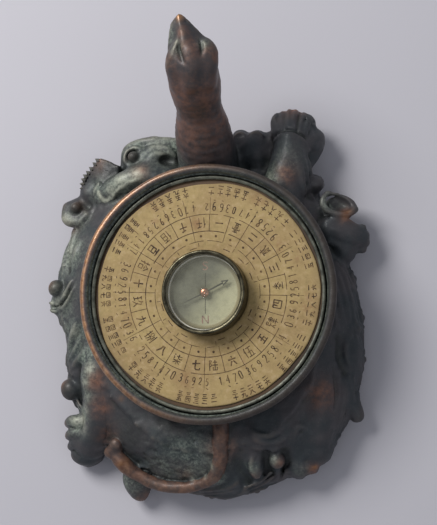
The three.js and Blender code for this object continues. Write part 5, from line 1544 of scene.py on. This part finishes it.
def glyph_strokes(glyph):
    return [[tuple(map(float, mark.split(","))) for mark in stroke.split()] for stroke in glyph.split(";")]


def dial_point(radius, clockwise):
    turn = math.radians(clockwise)
    return np.array([radius * math.sin(turn), radius * math.cos(turn)])


dial = Ink(paper_height)


def print_glyph(glyph, radius, clockwise, height, width, pen, tilt):
    """A glyph with its top towards the dial's middle"""
    middle = dial_point(radius, clockwise)
    turn = math.radians(clockwise + 180 + tilt)
    up = np.array([math.sin(turn), math.cos(turn)])
    right = np.array([up[1], -up[0]])
    for marks in glyph_strokes(glyph):
        points = [middle + right * (u - 5) * width / 10 + up * (v - 5) * height / 10 for u, v in marks]
        dial.stroke(points, pen * dice.uniform(0.85, 1.2))


def print_circle(radius, pen, missing):
    """A ruled circle, in arcs of which some failed to print"""
    for start in range(0, 360, ARC_ANGLE):
        if dice.random() < missing:
            continue
        dial.stroke([dial_point(radius, start + ARC_ANGLE * t / 4) for t in range(5)], pen, 0)


def print_line(inner, outer, clockwise, pen):
    """A line across a ring, a little bent"""
    bend = dice.uniform(-0.15, 0.15)
    dial.stroke([dial_point(inner, clockwise), dial_point((inner + outer) / 2, clockwise + bend),
                 dial_point(outer, clockwise)], pen, 0.1)


ARC_ANGLE = 4
DOT_RADIUS = 15.25
CELL_INNER = 16.5
CELL_GLYPH = 18.75
CELL_OUTER = 20.95
CELL_COUNT = 24
CELL_ANGLE = 360 / CELL_COUNT
CELL_START = 2.0
DOT_TURNS = np.linspace(0, 2 * math.pi, 9)
for radius, pen, missing in ((CELL_INNER, 0.22, 0.05), (CELL_OUTER, 0.18, 0.1), (13.95, 0.14, 0.28)):
    print_circle(radius, pen, missing)
for cell in range(CELL_COUNT):
    edge = CELL_START + cell * CELL_ANGLE
    middle = edge + CELL_ANGLE / 2
    if dice.random() > 0.1:
        print_line(CELL_INNER, 20.9, edge + dice.uniform(-0.3, 0.3), 0.18)
    if dice.random() > 0.25:
        print_line(14, CELL_INNER, edge + dice.uniform(-0.4, 0.4), 0.14)
    source, pen = (COMMON, 0.38) if cell % 2 == 0 else (FORMAL, 0.27)
    size = dice.uniform(2.7, 3.05)
    print_glyph(source[cell // 2], CELL_GLYPH, middle + dice.uniform(-0.5, 0.5), size, size * 0.92, pen,
                dice.uniform(-4, 4))
    spot = dial_point(DOT_RADIUS, middle - 0.8)
    dial.stroke([spot + 0.16 * np.array([math.cos(t), math.sin(t)]) for t in DOT_TURNS], 0.36, 0)
    if cell % 2 == 0:
        print_line(CELL_OUTER, 25.4, edge, 0.1)

# Short arcs with a tick, next to the capsule
TICK_ANGLES = [20, 42, 65, 110, 132, 158, 205, 228, 250, 292, 312, 338]
for tick in TICK_ANGLES:
    dial.stroke([dial_point(12.4, tick + t) for t in (0, 3, 6, 9)], 0.24, 0.2)
    print_line(12.6, 13.6, tick + 12, 0.14)

# A ring of digits with a gap after every twelve, and dashes outside it
DIGIT_COUNT = 78
DIGIT_RING = 22.9
DASH_RING = 24.75
for place in range(DIGIT_COUNT):
    clockwise = place * 360 / DIGIT_COUNT + dice.uniform(-0.5, 0.5)
    if place % 13 == 12:
        continue
    size = dice.uniform(1.9, 2.5)
    print_glyph(DIGITS[(place * 7 + 2) % 10], DIGIT_RING + dice.uniform(-0.15, 0.15), clockwise, size,
                size * 0.75, dice.uniform(0.24, 0.32), dice.uniform(-6, 6))
    if dice.random() < 0.6:
        start = dial_point(DASH_RING + dice.uniform(-0.2, 0.2), clockwise - 0.6)
        end = dial_point(DASH_RING + dice.uniform(-0.3, 0.3), clockwise + 0.6)
        dial.stroke([start, (start + end) / 2, end], 0.22)

# Numbers from one to sixty in groups of five, the tens inside the ones
GROUP_CENTRES = [12, 39, 66, 97, 125, 155, 186, 217, 247, 275, 305, 338]
GROUP_SIZE = 5
GROUP_STEP = 4.8
TENS_RING = 26.65
ONES_RING = 28.05
number = 0
for centre in GROUP_CENTRES:
    for member in range(GROUP_SIZE):
        number += 1
        clockwise = centre + (member - (GROUP_SIZE - 1) / 2) * GROUP_STEP + dice.uniform(-0.3, 0.3)
        for figure, ring in zip(divmod(number, 10), (TENS_RING, ONES_RING)):
            glyph = COMMON[figure - 1] if figure else COMMON[9]
            print_glyph(glyph, ring, clockwise, height=1.4, width=1.75, pen=0.27, tilt=dice.uniform(-6, 6))
print_line(24.6, 29, 311, 0.2)
print_line(21, 25.6, 345, 0.13)
dial.finish("dial_print", ink, "paper")

# Compass capsule
bezel = turned("compass_bezel_rolled", [
    (10.47, 22.7), (10.92, 22.7), (10.92, 23.2), (10.84, 23.5), (10.84, 27.6), (10.9, 27.9),
    *arc((10.45, 28.05), 0.5, -5, 90, 6), (10.2, 28.5), (9.95, 28.36), (9.8, 28.26), (9.8, GLASS_TOP),
    (10.47, GLASS_TOP),
], 180, nickel)
finish_piece(bezel, "figure", "nickel", "compass_bezel")

# Glass: a dome above and a shallower one below, with a flat edge
GLASS_RADIUS = 10.2
DOME_RADIUS = 9.7
DOME_RISE = 0.28
UNDER_RISE = 0.2
glass_under = CASE_TOP + 0.05
glass_profile = [(0.01, GLASS_TOP + 0.26)]
glass_profile += [(r, GLASS_TOP - 0.02 + DOME_RISE * (1 - (r / DOME_RADIUS) ** 2)) for r in (2, 4, 6, 8, 9.7)]
glass_profile += [(GLASS_RADIUS, GLASS_TOP - 0.1), (GLASS_RADIUS, glass_under), (DOME_RADIUS, glass_under)]
glass_profile += [(r, glass_under + UNDER_RISE * (1 - (r / DOME_RADIUS) ** 2)) for r in (8, 6, 4, 2, 0.01)]
watch_glass = turned("compass_glass_domed", glass_profile, 96, glass)
finish_piece(watch_glass, "figure", "glass", "compass_glass")

CARD_RINGS = [0.65, 2.5, 4.5, 6.5, 8.35, 8.6, 9.35]
CARD_THICKNESS = 0.24


def card_height(x, y):
    """A card that hangs a little towards its edge"""
    return CARD_TOP - 0.04 * (np.hypot(x, y) / CARD_RINGS[-1]) ** 2


# The card's light and shade are painted: darker towards the upper left, paler to the lower right, and a
# painted wall with its shade round the edge
card_disc = disc_piece("compass_card_sheet", CARD_RINGS, 120, card_paint, card_height, CARD_THICKNESS, {
    "card_light_and_shade": lambda v: smoothstep(v[:, 0] - 0.8 * v[:, 1], -5, 10),
    "painted_wall_and_shade": lambda v: smoothstep(off_axis(v), 8.35, 8.6),
})
finish_piece(card_disc, "figure", "card", "compass_card")

# The card ring is painted nearly white, which stands in for its highlight
ring_white_for_highlight = turned("card_ring_turned", [
    (9.47, 24.92), (9.76, 24.92), (9.76, 25.8), *arc((9.64, 25.8), 0.12, 0, 180, 5), (9.47, 25.6),
], 180, metal_material("ring_white_for_highlight", "fbfaf2", "dddccf", 0.3, metallic=0.1))
finish_piece(ring_white_for_highlight, "figure", "nickel", "card_ring")

# Line along the card and its two letters, all at one height
LETTERS = {
    7.05: "6.6,8.4 5.6,9.4 4,9.2 3.4,7.6 4.2,5.8 5.8,4.6 6.6,2.8 5.8,1 4.2,0.6 3.2,1.8",
    -6.9: "3,0.5 3,9.5; 3,9.3 7,0.7; 7,0.5 7,9.5",
}
LETTER_WIDTH = 0.38  # for each step of the grid
LETTER_HEIGHT = 0.23
CARD_FACE = CARD_TOP + 0.005
card_line = Ink(lambda x, y: CARD_FACE)
card_letters = Ink(lambda x, y: CARD_FACE)
for start, end in ((1.6, 5.2), (-1.6, -5.4)):
    card_line.stroke([(0, start), (0, (start + end) / 2), (0, end)], 0.2, 0.3)
card_line.finish("card_axis_line", steel, "steel")
for y, glyph in LETTERS.items():
    for marks in glyph_strokes(glyph):
        points = [((u - 5) * LETTER_WIDTH, y + (v - 5) * LETTER_HEIGHT) for u, v in marks]
        card_letters.stroke(points, 0.34, 0.1)
card_letters.finish("card_letters", red_paint, "card")

cap = turned("needle_cap_turned", [
    (0.62, 25.75), (1.02, 25.75), (1.1, 25.82), (1.1, 26.1), (0.8, 26.15), (0.8, NEEDLE_TOP),
    (1.12, NEEDLE_TOP), (1.2, 26.46), (1.16, 26.62), (0.98, 26.78), (0.7, 26.9), (0.36, 26.96), (0.01, 26.97),
    (0.01, 26.6), (0.2, 26.55),
], 64, hub_copper)
finish_piece(cap, "needle", "copper", "needle_cap")

# Cork pad: cut a little unevenly, with its edges rubbed round
PAD_SIDES = 220
PAD_LAYERS = ((6.2, 0.0), (5.75, 0.12), (5.65, 0.4), (5.75, 0.7), (6.2, 0.79))  # inset and height
pad_turns = np.linspace(0, 2 * math.pi, PAD_SIDES, endpoint=False)
pad_layers = []
for inset, height in PAD_LAYERS:
    reach = outline_reach(pad_turns) - inset + 0.08 * np.sin(19 * pad_turns) + 0.05 * np.sin(43 * pad_turns)
    pad_layers.append(np.stack([
        SHELL_CENTRE[0] + reach * np.cos(pad_turns), SHELL_CENTRE[1] + reach * np.sin(pad_turns),
        np.full(PAD_SIDES, height),
    ], axis=1))
pad_vertices = np.vstack(pad_layers + [[(*SHELL_CENTRE, PAD_LAYERS[end][1])] for end in (0, -1)])
pad_faces = []
last = (len(PAD_LAYERS) - 1) * PAD_SIDES
middle = len(PAD_LAYERS) * PAD_SIDES
for low in range(0, last, PAD_SIDES):
    high = low + PAD_SIDES
    for i in range(PAD_SIDES):
        j = (i + 1) % PAD_SIDES
        pad_faces.append((low + i, low + j, high + j, high + i))
for i in range(PAD_SIDES):
    j = (i + 1) % PAD_SIDES
    pad_faces.append((middle, j, i))
    pad_faces.append((middle + 1, last + i, last + j))
pad = make_object("cork_pad_cut", pad_vertices, pad_faces, cork)
finish_piece(pad, "figure", "cork", "cork_pad")

# Solids that keep their shape and get a finish
KEPT = {
    "dish_washer": brass, "dish_nut": brass, "dial_disc": wood, "compass_case": brass, "pivot_base": brass,
    "pivot_pin": steel, "needle": black_steel, "base_plate": brass, "base_screw_1": steel,
    "base_screw_2": steel, "base_screw_3": steel,
}
for node, finish in KEPT.items():
    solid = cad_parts[node]
    solid.data.materials.clear()
    solid.data.materials.append(finish)


# Stage
FLOOR_REACH = 3000
FLOOR_DROP = 0.05
floor_paint = Nodes("pale_floor").set(color="c9c8cf", roughness=0.9, metallic=0.0)
floor_corners = [(x * FLOOR_REACH, y * FLOOR_REACH, 0) for x, y in ((-1, -1), (1, -1), (1, 1), (-1, 1))]
floor = make_object("floor", floor_corners, [(0, 1, 2, 3)], floor_paint, smooth=False)
floor.location.z = -FLOOR_DROP * MM


LIGHT_TARGET = Vector((0, 0, 0.02))


def area_light(name, place, size, power, color):
    """A round lamp at a place in metres, turned to the object"""
    light = bpy.data.lights.new(name, "AREA")
    light.shape = "DISK"
    light.size = size
    light.energy = power
    light.color = color
    lamp = bpy.data.objects.new(name, light)
    lamp.location = place
    lamp.rotation_euler = (LIGHT_TARGET - Vector(place)).to_track_quat("-Z", "Y").to_euler()
    bpy.context.scene.collection.objects.link(lamp)


area_light("window", (-0.25, 0.25, 0.41), size=0.27, power=2.15, color=(1.0, 0.98, 0.96))
area_light("fill", (0.5, -0.3, 0.6), size=0.6, power=0.32, color=(0.94, 0.96, 1.0))

ROOM_COLOR = (0.9, 0.92, 1.0, 1)
ROOM_STRENGTH = 0.3
world = bpy.data.worlds.new("room")
world.use_nodes = True
background = world.node_tree.nodes["Background"]
background.inputs["Color"].default_value = ROOM_COLOR
background.inputs["Strength"].default_value = ROOM_STRENGTH
bpy.context.scene.world = world
bpy.context.scene.view_settings.view_transform = "Standard"

# Camera at the photograph's angle, in an image of 437 by 525 pixels
IMAGE_HEIGHT = 525
FOCAL_LENGTH = 1492.7  # in pixels
SENSOR_HEIGHT = 24
CAMERA_PLACE = Vector((76.0, -34.2, 402.7)) * MM
CAMERA_TARGET = Vector((3.0051, 8.1399, 22.7)) * MM
CAMERA_UP = (0.02133, 0.99407, 0.10666)
camera_data = bpy.data.cameras.new("camera")
camera_data.sensor_fit = "VERTICAL"
camera_data.sensor_height = SENSOR_HEIGHT
camera_data.lens = FOCAL_LENGTH / IMAGE_HEIGHT * SENSOR_HEIGHT
camera_data.clip_start = 0.01
camera = bpy.data.objects.new("camera", camera_data)
camera.location = CAMERA_PLACE
backward = (CAMERA_PLACE - CAMERA_TARGET).normalized()
right = Vector(CAMERA_UP).cross(backward).normalized()
camera.rotation_euler = Matrix((right, backward.cross(right), backward)).transposed().to_euler()
bpy.context.scene.collection.objects.link(camera)
bpy.context.scene.camera = camera
